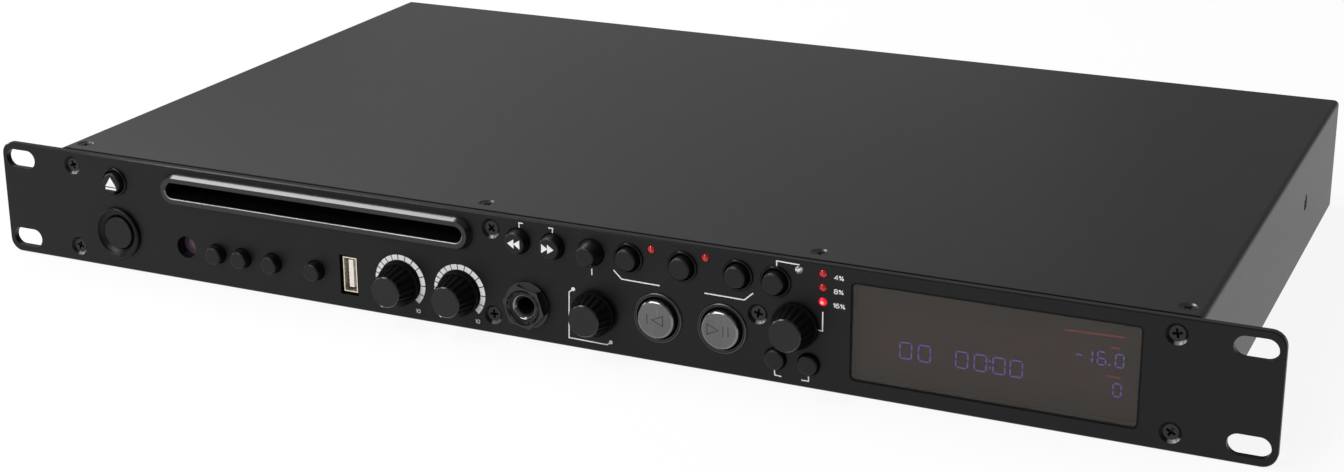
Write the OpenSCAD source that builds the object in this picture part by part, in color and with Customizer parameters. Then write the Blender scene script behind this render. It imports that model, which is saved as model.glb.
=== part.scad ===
// Slot-loading disc player for a 19-inch rack, one unit high.
// Origin: centre of the four rack slots, on the rear face of the front panel.
// +X is right seen from the front, +Y is to the rear, +Z is up. Sizes in millimetres.

/* [Front panel] */
// Width of the panel over both rack ears
panel_w = 482.6; // [478:0.1:490]
// Height of the panel, one rack unit
panel_h = 44; // [43:0.1:46]
// Thickness of the panel
panel_t = 2.5; // [2:0.1:3.5]
// Radius of the panel's corners
panel_corner_r = 5; // [1:0.5:8]
// Chamfer round the panel's front
panel_edge = 0.4; // [0.2:0.05:0.6]
// Distance between the left and the right rack slots
rack_pitch_x = 465.1; // [462:0.1:466]
// Distance between the upper and the lower rack slots
rack_pitch_z = 31.75; // [30:0.05:33]
// Length of a rack slot
rack_slot_l = 13.5; // [10:0.1:14]
// Width of a rack slot
rack_slot_w = 7.2; // [6:0.1:8]

/* [Case] */
// Width over the sides of the cover
body_w = 432; // [428:0.5:440]
// Depth from the panel's rear face to the rear wall's outer face
body_d = 257.5; // [250:0.5:320]
// How far the cover lies below the panel's upper edge
cover_drop = 0.2; // [0.1:0.1:0.8]
// Gap between the panel and the cover's front edge
cover_gap = 0.9; // [0.5:0.1:1.4]
// Sheet thickness of the cover
cover_t = 1; // [0.8:0.1:1.2]
// Outer radius of the cover's folds
cover_bend_r = 2; // [1.5:0.1:3]
// Sheet thickness of the chassis tray
tray_t = 1.2; // [1:0.1:1.5]
// Height of the tray's side walls
tray_side_h = 32; // [28:1:36]
// Thickness of the rear wall
rear_t = 2; // [1.5:0.1:3]
// Gap between the cover and the tray
seam = 0.2; // [0.1:0.05:0.3]
// Width of a tray tab that takes a cover screw
tab_w = 9.6; // [9:0.1:9.8]
// Depth of a tray tab that takes a cover screw
tab_d = 13; // [11:0.5:14]

/* [Screws] */
// Radius of a screw's shank
screw_r = 1.5; // [1.25:0.05:1.6]
// Radius of a countersunk head
screw_head_r = 2.75; // [2.4:0.05:2.9]
// Radius of a cover screw's countersink at the surface
sink_r = 3.15; // [3:0.05:3.3]
// Radius of a panel screw's countersink at the surface
panel_sink_r = 3.6; // [3.2:0.05:3.8]
// Length of a panel screw
panel_screw_l = 6.5; // [5:0.5:7]
// Distance of the left panel screws from the cover's side
panel_screw_left = 8.2; // [7:0.1:8.5]
// Distance of the right panel screws from the cover's side
panel_screw_right = 7; // [7:0.1:8.5]
// Length of a cover screw
cover_screw_l = 3.4; // [3:0.1:3.6]
// Distance of the cover's front screws behind the panel
cover_screw_y = 8.5; // [7.5:0.1:9]
// Distance of the outer cover screws from the cover's sides
cover_screw_edge = 6.4; // [6.2:0.1:7]
// Places of the two inner cover screws along X
cover_screw_inner = [-34, 90]; // [-40:1:95]
// Distance of the side screws from the rear of the case
side_screw_from_rear = 68; // [50:1:80]

/* [Disc slot] */
// Height of the slot's centre above the panel's middle
slot_z = 13.5; // [13:0.1:14]
// Width of the slot's opening
slot_w = 125.7; // [124:0.1:128]
// Height of the slot's opening
slot_h = 5.9; // [5.6:0.1:6.8]
// Width of the bezel's flat rim round the opening
bezel_rim = 2; // [1:0.05:2.4]
// Width of the bezel's slanted flank
bezel_flank = 1.2; // [1:0.05:1.6]
// Chamfer of the slot's mouth
mouth_edge = 0.35; // [0.2:0.05:0.6]
// How far the bezel stands out of the panel
bezel_out = 3; // [2:0.1:4]
// Wall of the bezel's collar in the panel
collar_t = 1.2; // [0.8:0.1:1.3]
// How far the collar reaches behind the panel
collar_d = 5.5; // [4:0.1:6]

/* [Push buttons] */
// Travel of a push button
button_travel = 0.8; // [0.5:0.1:1]
// Travel of the power button
power_travel = 1.5; // [1:0.1:2]
// Gap between a button and its hole
button_gap = 0.3; // [0.25:0.05:0.4]
// How far a button's flange reaches past its hole
button_lip = 0.6; // [0.4:0.05:0.7]
// Thickness of a button's flange
flange_t = 1; // [0.8:0.1:1.1]
// Radius of a button's stem
stem_r = 1.6; // [1.2:0.1:1.8]
// Diameter of the small buttons
small_d = 7.2; // [6:0.1:7.4]
// How far the small buttons stand out
small_out = 3.6; // [2:0.1:4.5]
// Diameter of the search buttons
search_d = 9; // [8:0.1:9.4]
// How far the search buttons stand out
search_out = 3.6; // [2:0.1:4.5]
// Diameter of the back button
back_d = 9.4; // [8:0.1:9.8]
// How far the back button stands out
back_out = 5.6; // [3:0.1:6]
// Diameter of the ringed buttons: eject, loop and pitch on
ringed_d = 8.2; // [7.4:0.1:8.6]
// How far the ringed buttons stand out
ringed_out = 3.3; // [2:0.1:4.5]
// Diameter of the pitch bend buttons
bend_d = 7.4; // [6.4:0.1:7.8]
// How far the pitch bend buttons stand out
bend_out = 2; // [1.2:0.1:3]
// Diameter of the cue and play buttons
cue_d = 14.1; // [12:0.1:14.6]
// How far the cue and play buttons stand out
cue_out = 2.6; // [1.6:0.1:4]
// Diameter of the power button
power_d = 12.8; // [11:0.1:13.8]
// How far the power button stands out
power_out = 0.8; // [0.5:0.1:2]

/* [Trim rings] */
// Wall of a ring's skirt in the panel
ring_skirt_t = 0.5; // [0.4:0.05:0.6]
// Outer diameter of the small rings
small_ring_d = 10.9; // [10.6:0.1:11.4]
// Height of the small rings
small_ring_h = 0.8; // [0.4:0.1:1.2]
// Outer diameter of the cue and play rings
cue_ring_d = 18; // [17:0.1:18.6]
// Height of the cue and play rings
cue_ring_h = 0.7; // [0.4:0.1:1.2]
// Outer diameter of the power ring
power_ring_d = 19.8; // [18:0.1:20.4]
// Height of the power ring
power_ring_h = 1.6; // [1:0.1:2]
// Width of the power ring's sloping inner wall
power_ring_slope = 1.7; // [1:0.1:2]

/* [Knobs] */
// Diameter of a knob's skirt
knob_d = 16; // [14:0.1:17]
// Diameter of a knob's front
knob_front_d = 11.6; // [10:0.1:13]
// How far a level or pitch knob stands out of the panel
knob_out = 10.4; // [8:0.1:12]
// How far the select knob stands out of the panel
select_out = 9.4; // [8:0.1:12]
// Gap between a knob's skirt and the panel
knob_gap = 0.6; // [0.4:0.1:0.8]
// Number of flutes round a knob
knob_flutes = 18; // [12:1:24]
// Radius of a knob's shaft
shaft_r = 3; // [2.5:0.1:3.1]
// Radius of the bushing that holds a shaft
bushing_r = 4; // [3.8:0.1:4.4]
// Running clearance of a shaft in its bore
shaft_fit = 0.06; // [0.03:0.01:0.09]

/* [Sockets in the panel] */
// Width of the memory stick port's shell
stick_w = 5.7; // [5.5:0.1:6]
// Height of the memory stick port's shell
stick_h = 13.2; // [13:0.1:13.6]
// Width of the black margin round the port
stick_margin = 0.9; // [0.6:0.1:1]
// Radius of the microphone jack's bore
jack_bore_r = 3.25; // [3.2:0.05:3.4]
// Radius of the jack's threaded bushing
jack_bushing_r = 5.6; // [5.4:0.1:6]
// Width of the jack's nut across its flats
jack_nut_w = 14.2; // [13.6:0.1:15]
// Height of the jack's nut
jack_nut_h = 3.8; // [3:0.1:4.5]
// Radius of the infrared window
ir_r = 4.2; // [3:0.05:4.6]
// How far the infrared lens lies behind the panel
ir_sunk = 1.2; // [0.6:0.1:1.6]
// Radius of an indicator lamp
lamp_r = 1.5; // [1.2:0.05:1.6]
// How far an indicator lamp stands out
lamp_out = 0.9; // [0.5:0.1:1.2]

/* [Display] */
// Height of the display's centre above the panel's middle
display_z = 0.4; // [0:0.1:0.8]
// Width of the panel's cut-out for the display
display_w = 94.2; // [90:0.1:95]
// Height of the panel's cut-out for the display
display_h = 34.3; // [32:0.1:34.6]
// Radius of the cut-out's corners
display_corner_r = 2; // [1.5:0.1:3]
// Gap between the display window and its cut-out
display_gap = 0.8; // [0.4:0.1:1]
// How far the window's face lies below the panel's
display_sunk = 0.3; // [0.1:0.05:0.5]
// Width of the window's flange behind the panel
display_lip = 1.6; // [1:0.1:2]

/* [Control board] */
// Distance of the control board behind the panel
board_y = 9; // [8.5:0.1:9.5]
// Thickness of the circuit boards
board_t = 1.6; // [1.2:0.1:1.6]
// Height of a push switch on the control board
switch_h = 4; // [3.6:0.1:4.4]
// Width of a push switch on the control board
switch_w = 6; // [5:0.1:6.2]

/* [Disc drive] */
// Diameter of a disc
disc_d = 120; // [118:0.5:121]
// Thickness of a disc
disc_t = 1.2; // [1.1:0.05:1.3]
// Height kept clear for a disc on its way in
path_h = 5.2; // [4.6:0.1:5.4]
// Distance of the turntable's axis behind the panel
spindle_y = 90; // [88:0.5:94]
// Sheet thickness of the drive's frame
drive_t = 1; // [0.8:0.1:1.2]
// Room between the slot's ends and the drive's side walls
drive_side_gap = 2.85; // [2.6:0.05:3.4]
// Radius of the turntable
turntable_r = 14; // [12:0.1:14.5]
// Height of the turntable's hub above the disc seat
hub_h = 1.4; // [1.2:0.1:1.6]
// Radius of the hub that takes a disc's hole
hub_r = 7.4; // [7:0.1:7.4]
// Radius of the loading roller's rubber
roller_r = 4; // [3.6:0.1:4.4]
// Radius of the drive's small pins and shafts
pin_r = 1.5; // [1.2:0.05:1.6]
// Running clearance of the drive's pins
pin_fit = 0.05; // [0.03:0.01:0.09]
// Module of the loading gears
gear_module = 0.5; // [0.48:0.01:0.52]
// Teeth of the loading gear
gear_teeth = 44; // [40:2:48]
// Teeth of the roller's pinion
pinion_teeth = 20; // [18:1:22]
// Width of the loading gears
gear_w = 3; // [2:0.1:4]
// Radius of the small motors
motor_r = 6.5; // [5:0.1:6.8]
// Length of the small motors
motor_l = 20; // [16:0.5:24]
// Reach of the clamp arm from its pivot to the turntable's axis
clamp_reach = 70; // [68:0.5:72]
// Shortest distance of the pickup's lens from the turntable's axis
lens_start = 25; // [24.5:0.1:26]
// Travel of the pickup sled
sled_travel = 33; // [30:0.5:34]

/* [Rear sockets] */
// Height of the rear sockets above the panel's middle
socket_z = 0; // [-2:0.5:2]
// Distance of the mains inlet's centre from the tray's right side
inlet_from_side = 42.8; // [38:0.1:50]
// Distance between the mains inlet and the nearest balanced socket
balanced_from_inlet = 50; // [46:0.5:60]
// Distance between the balanced sockets
balanced_pitch = 34; // [32:0.5:40]
// Distance between the phono sockets' middle and the nearest balanced socket
phono_from_balanced = 34; // [32:0.5:40]
// Distance between the phono sockets
phono_pitch = 15; // [14:0.5:18]
// Depth of the mains inlet in the case
inlet_d = 22; // [19:0.5:24]
// Depth of the balanced sockets in the case
balanced_d = 20; // [18:0.5:24]

/* [Hidden] */
$fn = 48;

// Places of the controls on the panel, X and Z, drawn for one width of the case and spread with it
drawn_w = 432;
function across(x, z) = [x * body_w / drawn_w, z];
slot_at = across(-99.9, slot_z);
display_at = across(152.1, display_z);
eject_at = across(-188.1, 12.6);
power_at = across(-188.1, -7.6);
ir_at = across(-157.1, -9);
single_at = across(-143.1, -9.5);
time_at = across(-131.9, -9.5);
tempo_at = across(-118.6, -9.5);
source_at = across(-100.1, -9.5);
stick_at = across(-85.9, -9.4);
master_at = across(-64.5, -9.1);
mic_at = across(-40.3, -9.1);
jack_at = across(-13, -9);
search_back_at = across(-16.2, 13.9);
search_forward_at = across(-2.9, 13.9);
back_at = across(11.8, 13.8);
loop_in_at = across(25.8, 13.8);
loop_out_at = across(45.7, 13.8);
loop_again_at = across(65.6, 13.8);
pitch_on_at = across(79, 13.6);
select_at = across(13, -7.8);
cue_at = across(36.6, -5.9);
play_at = across(60.1, -5.9);
pitch_at = across(86.2, -0.6);
bend_down_at = across(79.2, -13.4);
bend_up_at = across(90.9, -13.4);
clear_lamp_at = across(87.1, 18.7);
red_lamps_at = [
    across(34.3, 18), across(54, 18), across(95.4, 18.7), across(95.4, 13.9), across(95.4, 9.05)
];
panel_screw_ends = [panel_screw_left - body_w / 2, body_w / 2 - panel_screw_right];
panel_screws_at = concat(
    [for (x = panel_screw_ends, z = [16.6, -15.8]) [x, z]],
    [across(-26.9, 16.8), across(-26.9, -15), across(72.7, 1.2)]
);

// Groups of push buttons that are made alike
small_places = [single_at, time_at, tempo_at, source_at];
search_places = [search_back_at, search_forward_at];
ringed_places = [eject_at, loop_in_at, loop_out_at, loop_again_at, pitch_on_at];
cue_places = [cue_at, play_at];
bend_places = [bend_down_at, bend_up_at];
button_places = concat(
    small_places, search_places, [back_at], ringed_places, cue_places, bend_places, [power_at]
);
knob_places = [master_at, mic_at, pitch_at, select_at];
pot_places = [master_at, mic_at, pitch_at];

// Levels and faces of the case
floor_z = -panel_h / 2;
floor_top = floor_z + tray_t;
cover_top = panel_h / 2 - cover_drop;
cover_under = cover_top - cover_t;
tray_top = cover_under - seam;
tray_x = body_w / 2 - cover_t - seam;
front_y = -panel_t;
rear_in = body_d - rear_t;
wall_x = tray_x - tray_t - seam;
cover_screw_x = body_w / 2 - cover_screw_edge;
cover_screws_x = concat(
    [-cover_screw_x], [for (x = cover_screw_inner) across(x, 0)[0]], [cover_screw_x]
);
side_screw_y = body_d - side_screw_from_rear;
inlet_at = [tray_x - inlet_from_side, socket_z];
balanced_at = inlet_at - [balanced_from_inlet + balanced_pitch, 0];
phono_at = balanced_at - [phono_from_balanced, 0];
touch = 0.02;
press = 0.05;

// Holes that the push buttons need
function plain_hole(d) = d / 2 + button_gap;
function ringed_hole(d) = plain_hole(d) + ring_skirt_t + press;
function flange_r(hole) = hole + button_lip;
function wall_hole(hole) = flange_r(hole) + 0.4;
function polar(r, a) = [r * cos(a), r * sin(a)];
flange_rest = 0.1;
stem_end = board_y - switch_h;

// Shapes that are extruded along one axis: outlines give X and Z, or Y and Z
module along_y(y0, y1) translate([0, y1, 0]) rotate([90, 0, 0]) linear_extrude(y1 - y0) children();
module along_x(x0, x1) translate([x0, 0, 0]) rotate([90, 0, 90]) linear_extrude(x1 - x0) children();
module along_z(z0, z1) translate([0, 0, z0]) linear_extrude(z1 - z0) children();
module rod_y(at, r, y0, y1) translate([at[0], y1, at[1]]) rotate([90, 0, 0]) cylinder(r = r, h = y1 - y0);
module rod_x(at, r, x0, x1) translate([x0, at[0], at[1]]) rotate([0, 90, 0]) cylinder(r = r, h = x1 - x0);
module rod_z(at, r, z0, z1) translate([at[0], at[1], z0]) cylinder(r = r, h = z1 - z0);
module block(low, high) translate(low) cube(high - low);
// A revolved profile whose second coordinate counts forward from the panel's rear face
module turned(at) translate([at[0], 0, at[1]]) rotate([90, 0, 0]) rotate_extrude() children();

module rounded(w, h, r) {
    square([w - 2 * r, h], center = true);
    square([w, h - 2 * r], center = true);
    for (x = [-1, 1], z = [-1, 1]) translate([x * (w / 2 - r), z * (h / 2 - r)]) circle(r);
}

module stadium(w, h) {
    square([w - h, h], center = true);
    for (x = [-1, 1]) translate([x * (w - h) / 2, 0]) circle(h / 2);
}

// A block with round ends: front width and height, then the height it has at the rear
module stadium_frustum(at, w, h0, h1, y0, y1) {
    run = w - h0;
    translate([at[0] - run / 2, y0, at[1]]) rotate([90, 0, 90]) linear_extrude(run)
        polygon([[0, -h0 / 2], [y1 - y0, -h1 / 2], [y1 - y0, h1 / 2], [0, h0 / 2]]);
    for (x = [-1, 1]) translate([at[0] + x * run / 2, y1, at[1]]) rotate([90, 0, 0])
        cylinder(r1 = h1 / 2, r2 = h0 / 2, h = y1 - y0);
}

// A plate with rounded corners whose front outline is smaller by the cut on every side
module rounded_frustum(w, h, r, cut, y0, y1) {
    along_x(r - w / 2, w / 2 - r)
        polygon([[y0, cut - h / 2], [y1, -h / 2], [y1, h / 2], [y0, h / 2 - cut]]);
    along_z(r - h / 2, h / 2 - r)
        polygon([[cut - w / 2, y0], [w / 2 - cut, y0], [w / 2, y1], [-w / 2, y1]]);
    for (x = [-1, 1], z = [-1, 1]) translate([x * (w / 2 - r), y1, z * (h / 2 - r)]) rotate([90, 0, 0])
        cylinder(r1 = r, r2 = r - cut, h = y1 - y0);
}

// Countersunk screw, head up, with its face at the origin
module sunk_screw(l, sink) {
    sunk = sink - screw_head_r;
    head_h = screw_head_r - screw_r;
    translate([0, 0, -sunk - head_h]) cylinder(r1 = screw_r - touch, r2 = screw_head_r - touch, h = head_h);
    translate([0, 0, -sunk - l]) cylinder(r = screw_r - touch, h = l - head_h / 2);
}

// What a countersunk screw takes away from the sheets that it joins
module screw_seat(l, sink) {
    cone = sink - screw_r;
    translate([0, 0, -cone]) cylinder(r1 = screw_r, r2 = sink, h = cone);
    translate([0, 0, -l - 1]) cylinder(r = screw_r, h = l + 1 - cone / 2);
    cylinder(r = sink, h = 1);
}

module at_panel_screws() for (at = panel_screws_at)
    translate([at[0], front_y, at[1]]) rotate([90, 0, 0]) children();
module at_cover_screws() for (x = cover_screws_x) translate([x, cover_screw_y, cover_top]) children();
module at_side_screws() for (x = [-1, 1])
    translate([x * body_w / 2, side_screw_y, 0]) rotate([0, x * 90, 0]) children();

// Push buttons: cap, flange behind the panel and stem to the switch
module push_button(at, d, out, taper, edge, hole) {
    top = panel_t + out;
    r1 = d / 2 - taper;
    turned(at) polygon(concat(
        [[0, -stem_end], [stem_r, -stem_end], [stem_r, -flange_rest - flange_t]],
        [[flange_r(hole), -flange_rest - flange_t], [flange_r(hole), -flange_rest]],
        [[d / 2, -flange_rest], [d / 2, panel_t]],
        [for (a = [0 : 18 : 90]) [r1 - edge, top - edge] + polar(edge, a)],
        [[0, top]]
    ));
}

// Trim ring: a skirt in the panel's hole and a rounded rim on the panel's face, with a sloping wall inside it
module trim_ring(at, inner_d, ring_d, h, slope) {
    inner = inner_d / 2 + button_gap;
    rim = inner + slope;
    outer = ring_d / 2;
    round_r = min(h, (outer - rim) / 2) * 0.9;
    turned(at) polygon(concat(
        [[inner, flange_rest], [inner + ring_skirt_t, flange_rest], [inner + ring_skirt_t, panel_t]],
        [[outer, panel_t]],
        [for (a = [0 : 22.5 : 90]) [outer - round_r, panel_t + h - round_r] + polar(round_r, a)],
        [for (a = [90 : 22.5 : 180]) [rim + round_r, panel_t + h - round_r] + polar(round_r, a)],
        slope > 0 ? [[inner, panel_t]] : []
    ));
}

// Knob with its shaft: skirt, fluted taper and chamfered front
module knob(at, gap, out) {
    top = panel_t + out;
    base = panel_t + gap;
    skirt_h = 1.4;
    chamfer = 0.45;
    body_r = knob_d / 2 - 0.4;
    front_r = knob_front_d / 2;
    flute = 0.3;
    steps = knob_flutes * 6;
    hollow = base + 2.6;
    translate([at[0], 0, at[1]]) rotate([90, 0, 0]) difference() {
        union() {
            translate([0, 0, base]) cylinder(r = knob_d / 2, h = skirt_h);
            translate([0, 0, base + skirt_h])
                linear_extrude(top - chamfer - base - skirt_h, scale = front_r / body_r)
                polygon([
                    for (i = [0 : steps - 1])
                        polar(body_r - flute + flute * cos(360 * i * knob_flutes / steps), 360 * i / steps)
                ]);
            translate([0, 0, top - chamfer])
                cylinder(r1 = front_r - 0.1, r2 = front_r - chamfer, h = chamfer);
        }
        translate([0, 0, base - 1]) cylinder(r = bushing_r + 0.5, h = hollow - base + 1);
    }
    rod_y(at, shaft_r, -hollow, shaft_end);
}
shaft_end = board_y - 2.6;
bushing_out = panel_t + knob_gap + button_travel + 0.6;

// Front panel: chamfered plate with rack ears and a cut-out for each control
module front_panel() color([0.17, 0.17, 0.18]) difference() {
    intersection() {
        along_y(front_y, 0) difference() {
            rounded(panel_w, panel_h, panel_corner_r);
            for (x = [-1, 1], z = [-1, 1])
                translate([x * rack_pitch_x / 2, z * rack_pitch_z / 2]) stadium(rack_slot_l, rack_slot_w);
            translate(slot_at) stadium(slot_w + 2 * (collar_t + press), slot_h + 2 * (collar_t + press));
            translate(display_at) rounded(display_w, display_h, display_corner_r);
            stick_hole();
            control_holes(0);
        }
        chamfer_envelope();
    }
    at_panel_screws() screw_seat(panel_t, panel_sink_r);
}
// Sloping planes that take off the plate's front edge, wider than the plate behind it
module chamfer_envelope() {
    past = 1;
    grow = panel_t + past - panel_edge;
    rounded_frustum(
        panel_w + 2 * grow, panel_h + 2 * grow, panel_corner_r + grow,
        panel_t + 2 * past, front_y - past, past
    );
}

// Round holes for the controls, in the panel or, wider, in the wall behind it
module control_holes(wall) {
    button_hole_group(small_places, plain_hole(small_d), wall);
    button_hole_group(search_places, plain_hole(search_d), wall);
    button_hole_group([back_at], plain_hole(back_d), wall);
    button_hole_group(bend_places, plain_hole(bend_d), wall);
    button_hole_group(ringed_places, ringed_hole(ringed_d), wall);
    button_hole_group(cue_places, ringed_hole(cue_d), wall);
    button_hole_group([power_at], ringed_hole(power_d), wall);
    for (at = knob_places) translate(at) circle(bushing_r + press);
    for (at = concat(red_lamps_at, [clear_lamp_at])) translate(at) circle(lamp_r + press + wall * 0.4);
    translate(ir_at) circle(ir_r + wall * 0.9);
    translate(jack_at) circle(jack_bushing_r + press);
}
module stick_hole() translate(stick_at)
    square([stick_w + 2 * stick_margin, stick_h + 2 * stick_margin], center = true);
module button_hole_group(places, hole, wall) for (at = places)
    translate(at) circle(wall == 0 ? hole : wall_hole(hole));

// Chassis tray: floor, side walls and board posts
module chassis_tray() color([0.3, 0.3, 0.31]) difference() {
    union() {
        block([-tray_x, 0, floor_z], [tray_x, body_d, floor_top]);
        for (x = [-1, 1]) translate([x * (tray_x - tray_t / 2), body_d / 2, floor_z + tray_side_h / 2])
            cube([tray_t, body_d, tray_side_h], center = true);
        for (at = concat(main_posts, supply_posts)) rod_z(at, post_r, floor_z + tray_t / 2, board_z);
    }
    at_side_screws() screw_seat(cover_screw_l, sink_r);
}

// Front wall behind the panel: cut-outs, tabs for the cover screws and spacers for the control board
spacer_r = 2.5;
spacer_places = [
    power_at + [-11.9, 10.6], across(-165, -16.6), across(-109.4, -16.8), across(-52.7, -16.6),
    across(-27.4, 3), across(24.6, -17), across(70.5, -17)
];
module front_wall() color([0.3, 0.3, 0.31]) difference() {
    union() {
        along_y(0, tray_t) difference() {
            wall_outline();
            translate(slot_at) stadium(slot_w + 2 * (collar_t + press), slot_h + 2 * (collar_t + press));
            translate(display_at) rounded(
                display_w + 2 * display_lip + seam, display_h + 2 * display_lip + seam, display_corner_r
            );
            stick_hole();
            control_holes(1);
        }
        for (x = cover_screws_x)
            block([x - tab_w / 2, 0, tray_top - tray_t], [x + tab_w / 2, tab_d, tray_top]);
        for (at = spacer_places) rod_y(at, spacer_r, tray_t / 2, board_y);
    }
    at_panel_screws() screw_seat(panel_screw_l, panel_sink_r);
    at_cover_screws() screw_seat(cover_screw_l, sink_r);
    for (at = concat(red_lamps_at, [clear_lamp_at])) rod_y(at, lamp_r + 0.5, -1, tray_t);
}
module wall_outline() translate([0, (tray_top + floor_top) / 2])
    square([2 * wall_x, tray_top - floor_top], center = true);

// Rear wall with the holes for the sockets
module rear_wall() color([0.25, 0.25, 0.26]) along_y(rear_in, body_d) difference() {
    wall_outline();
    translate(inlet_at) square([inlet_w + seam, inlet_h + seam], center = true);
    for (at = balanced_places) translate(at) circle(balanced_body_r + seam);
    for (at = phono_places) translate(at) circle(phono_base_r + seam);
}

// Top cover: a sheet folded over both sides
module top_cover() color([0.25, 0.25, 0.26]) difference() {
    along_y(cover_gap, body_d) difference() {
        cover_outline(body_w, cover_top, cover_bend_r);
        cover_outline(body_w - 2 * cover_t, cover_under, cover_bend_r - cover_t);
    }
    at_cover_screws() screw_seat(cover_screw_l, sink_r);
    at_side_screws() screw_seat(cover_screw_l, sink_r);
}
module cover_outline(w, top, r) {
    low = floor_z + seam;
    translate([-w / 2, low]) square([w, top - r - low]);
    translate([-w / 2 + r, low]) square([w - 2 * r, top - low]);
    for (x = [-1, 1]) translate([x * (w / 2 - r), top - r]) circle(r);
}

// Countersunk screws of the panel and the cover
module case_screws() color([0.12, 0.12, 0.12]) {
    at_panel_screws() sunk_screw(panel_screw_l, panel_sink_r);
    at_cover_screws() sunk_screw(cover_screw_l, sink_r);
    at_side_screws() sunk_screw(cover_screw_l, sink_r);
}

// Bezel of the disc slot: slanted flank, flat rim, softened mouth and a collar through the panel
module slot_bezel() color([0.2, 0.2, 0.21]) difference() {
    rim_h = slot_h + 2 * bezel_rim;
    base_h = rim_h + 2 * bezel_flank;
    union() {
        stadium_frustum(
            slot_at, slot_w + 2 * bezel_rim, rim_h, base_h, front_y - bezel_out, front_y
        );
        along_y(front_y - touch, collar_d) translate(slot_at)
            stadium(slot_w + 2 * collar_t, slot_h + 2 * collar_t);
    }
    along_y(front_y - bezel_out - 1, collar_d + 1) translate(slot_at) stadium(slot_w, slot_h);
    stadium_frustum(
        slot_at, slot_w + 2 * mouth_edge, slot_h + 2 * mouth_edge, slot_h - 2 * mouth_edge,
        front_y - bezel_out, front_y - bezel_out + 2 * mouth_edge
    );
}

module button_rings() color([0.1, 0.1, 0.1]) {
    for (at = ringed_places) trim_ring(at, ringed_d, small_ring_d, small_ring_h, 0);
    for (at = cue_places) trim_ring(at, cue_d, cue_ring_d, cue_ring_h, 0);
    trim_ring(power_at, power_d, power_ring_d, power_ring_h, power_ring_slope);
}

// Display window, flush in the panel with a flange behind it
module display_window() color([0.3, 0.28, 0.26, 0.6]) {
    along_y(front_y + display_sunk, 0) translate(display_at)
        rounded(display_w - 2 * display_gap, display_h - 2 * display_gap, display_corner_r - display_gap);
    along_y(0, window_back) translate(display_at)
        rounded(display_w + 2 * display_lip, display_h + 2 * display_lip, display_corner_r);
}
window_back = tray_t;

// Display module: glass tube with its cathode and a base board
module display_module() color([0.2, 0.17, 0.15]) {
    glass_d = 5;
    along_y(window_back, window_back + glass_d) translate(display_at)
        square([display_w - 2, display_h - 2], center = true);
    along_y(window_back + glass_d, window_back + glass_d + board_t) translate(display_at)
        rounded(display_w + 2 * display_lip, display_h + 2 * display_lip, display_corner_r);
}

// Infrared window: a domed lens at the bottom of a short tube behind its hole, with the receiver behind it
module ir_window() color([0.3, 0.15, 0.28]) {
    dome = 0.6;
    lens_t = 1.5;
    tube_r = ir_r + 0.8;
    edge = -ir_sunk - dome;
    turned(ir_at) polygon(concat(
        [[0, -board_y], [3, -board_y], [3, edge - lens_t], [tube_r, edge - lens_t]],
        [[tube_r, -flange_rest], [ir_r, -flange_rest]],
        [for (a = [0 : 15 : 90]) [ir_r * cos(a), edge + dome * sin(a)]]
    ));
}

// Memory stick port: folded shell with a contact tongue and side springs left out
module stick_port() color([0.75, 0.74, 0.7]) {
    wall = 0.4;
    mouth_y = front_y + 1;
    depth = 14;
    tongue_w = 1.9;
    difference() {
        along_y(mouth_y, mouth_y + depth) translate(stick_at) square([stick_w, stick_h], center = true);
        along_y(mouth_y - 1, mouth_y + depth - 2) translate(stick_at)
            square([stick_w - 2 * wall, stick_h - 2 * wall], center = true);
    }
    along_y(mouth_y + 1.2, mouth_y + depth - 1) translate(stick_at - [0.3, 0])
        square([tongue_w, stick_h - 2.8], center = true);
}

// Microphone jack: body, threaded bushing, plug bore and a stepped mouth
jack_out = jack_nut_h - 0.8;
jack_body_w = 15;
jack_body_d = 24;
module mic_jack() color([0.1, 0.1, 0.1]) difference() {
    union() {
        rod_y(jack_at, jack_bushing_r, front_y - jack_out, tray_t + 1);
        along_y(tray_t, tray_t + jack_body_d) translate(jack_at) square(jack_body_w, center = true);
    }
    rod_y(jack_at, jack_bore_r, front_y - jack_out - 1, tray_t + jack_body_d - 2);
    rod_y(jack_at, jack_bushing_r - 0.8, front_y - jack_out - 1, front_y - jack_out + 1.6);
}

// Hexagon nut with a round flange, on the jack's bushing
module jack_nut() color([0.09, 0.09, 0.09]) difference() {
    flange_h = 0.9;
    union() {
        rod_y(jack_at, jack_nut_w / 2 + 1.4, front_y - flange_h, front_y);
        translate([jack_at[0], front_y, jack_at[1]]) rotate([90, 12, 0])
            cylinder(r = jack_nut_w / sqrt(3), h = jack_nut_h, $fn = 6);
    }
    rod_y(jack_at, jack_bushing_r + press, front_y - jack_nut_h - 1, front_y + 1);
    translate([jack_at[0], front_y - jack_nut_h, jack_at[1]]) rotate([-90, 0, 0])
        cylinder(r1 = jack_bushing_r + 0.9, r2 = jack_bushing_r, h = 0.9);
}

// Potentiometers and the select encoder on the control board
module pot_body(at) {
    pot_w = 10;
    pot_h = 11;
    rod_y(at, bushing_r, -bushing_out, tray_t + 1);
    along_y(tray_t, board_y) translate(at) square([pot_w, pot_h], center = true);
}
module level_pots() color([0.45, 0.45, 0.46]) for (at = pot_places) difference() {
    pot_body(at);
    rod_y(at, shaft_r + shaft_fit, -bushing_out - 1, shaft_end + 0.3);
}
plunger_t = 1;
module select_encoder() color([0.45, 0.45, 0.46]) difference() {
    pot_body(select_at);
    rod_y(select_at, shaft_r + shaft_fit, -bushing_out - 1, shaft_end + 0.3);
    rod_y(select_at, shaft_r + 0.6, shaft_end - 0.4, shaft_end + plunger_t + button_travel + 0.4);
}
module select_plunger() color([0.8, 0.8, 0.75])
    rod_y(select_at, shaft_r + 0.4, shaft_end + 0.1, shaft_end + 0.1 + plunger_t);

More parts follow.
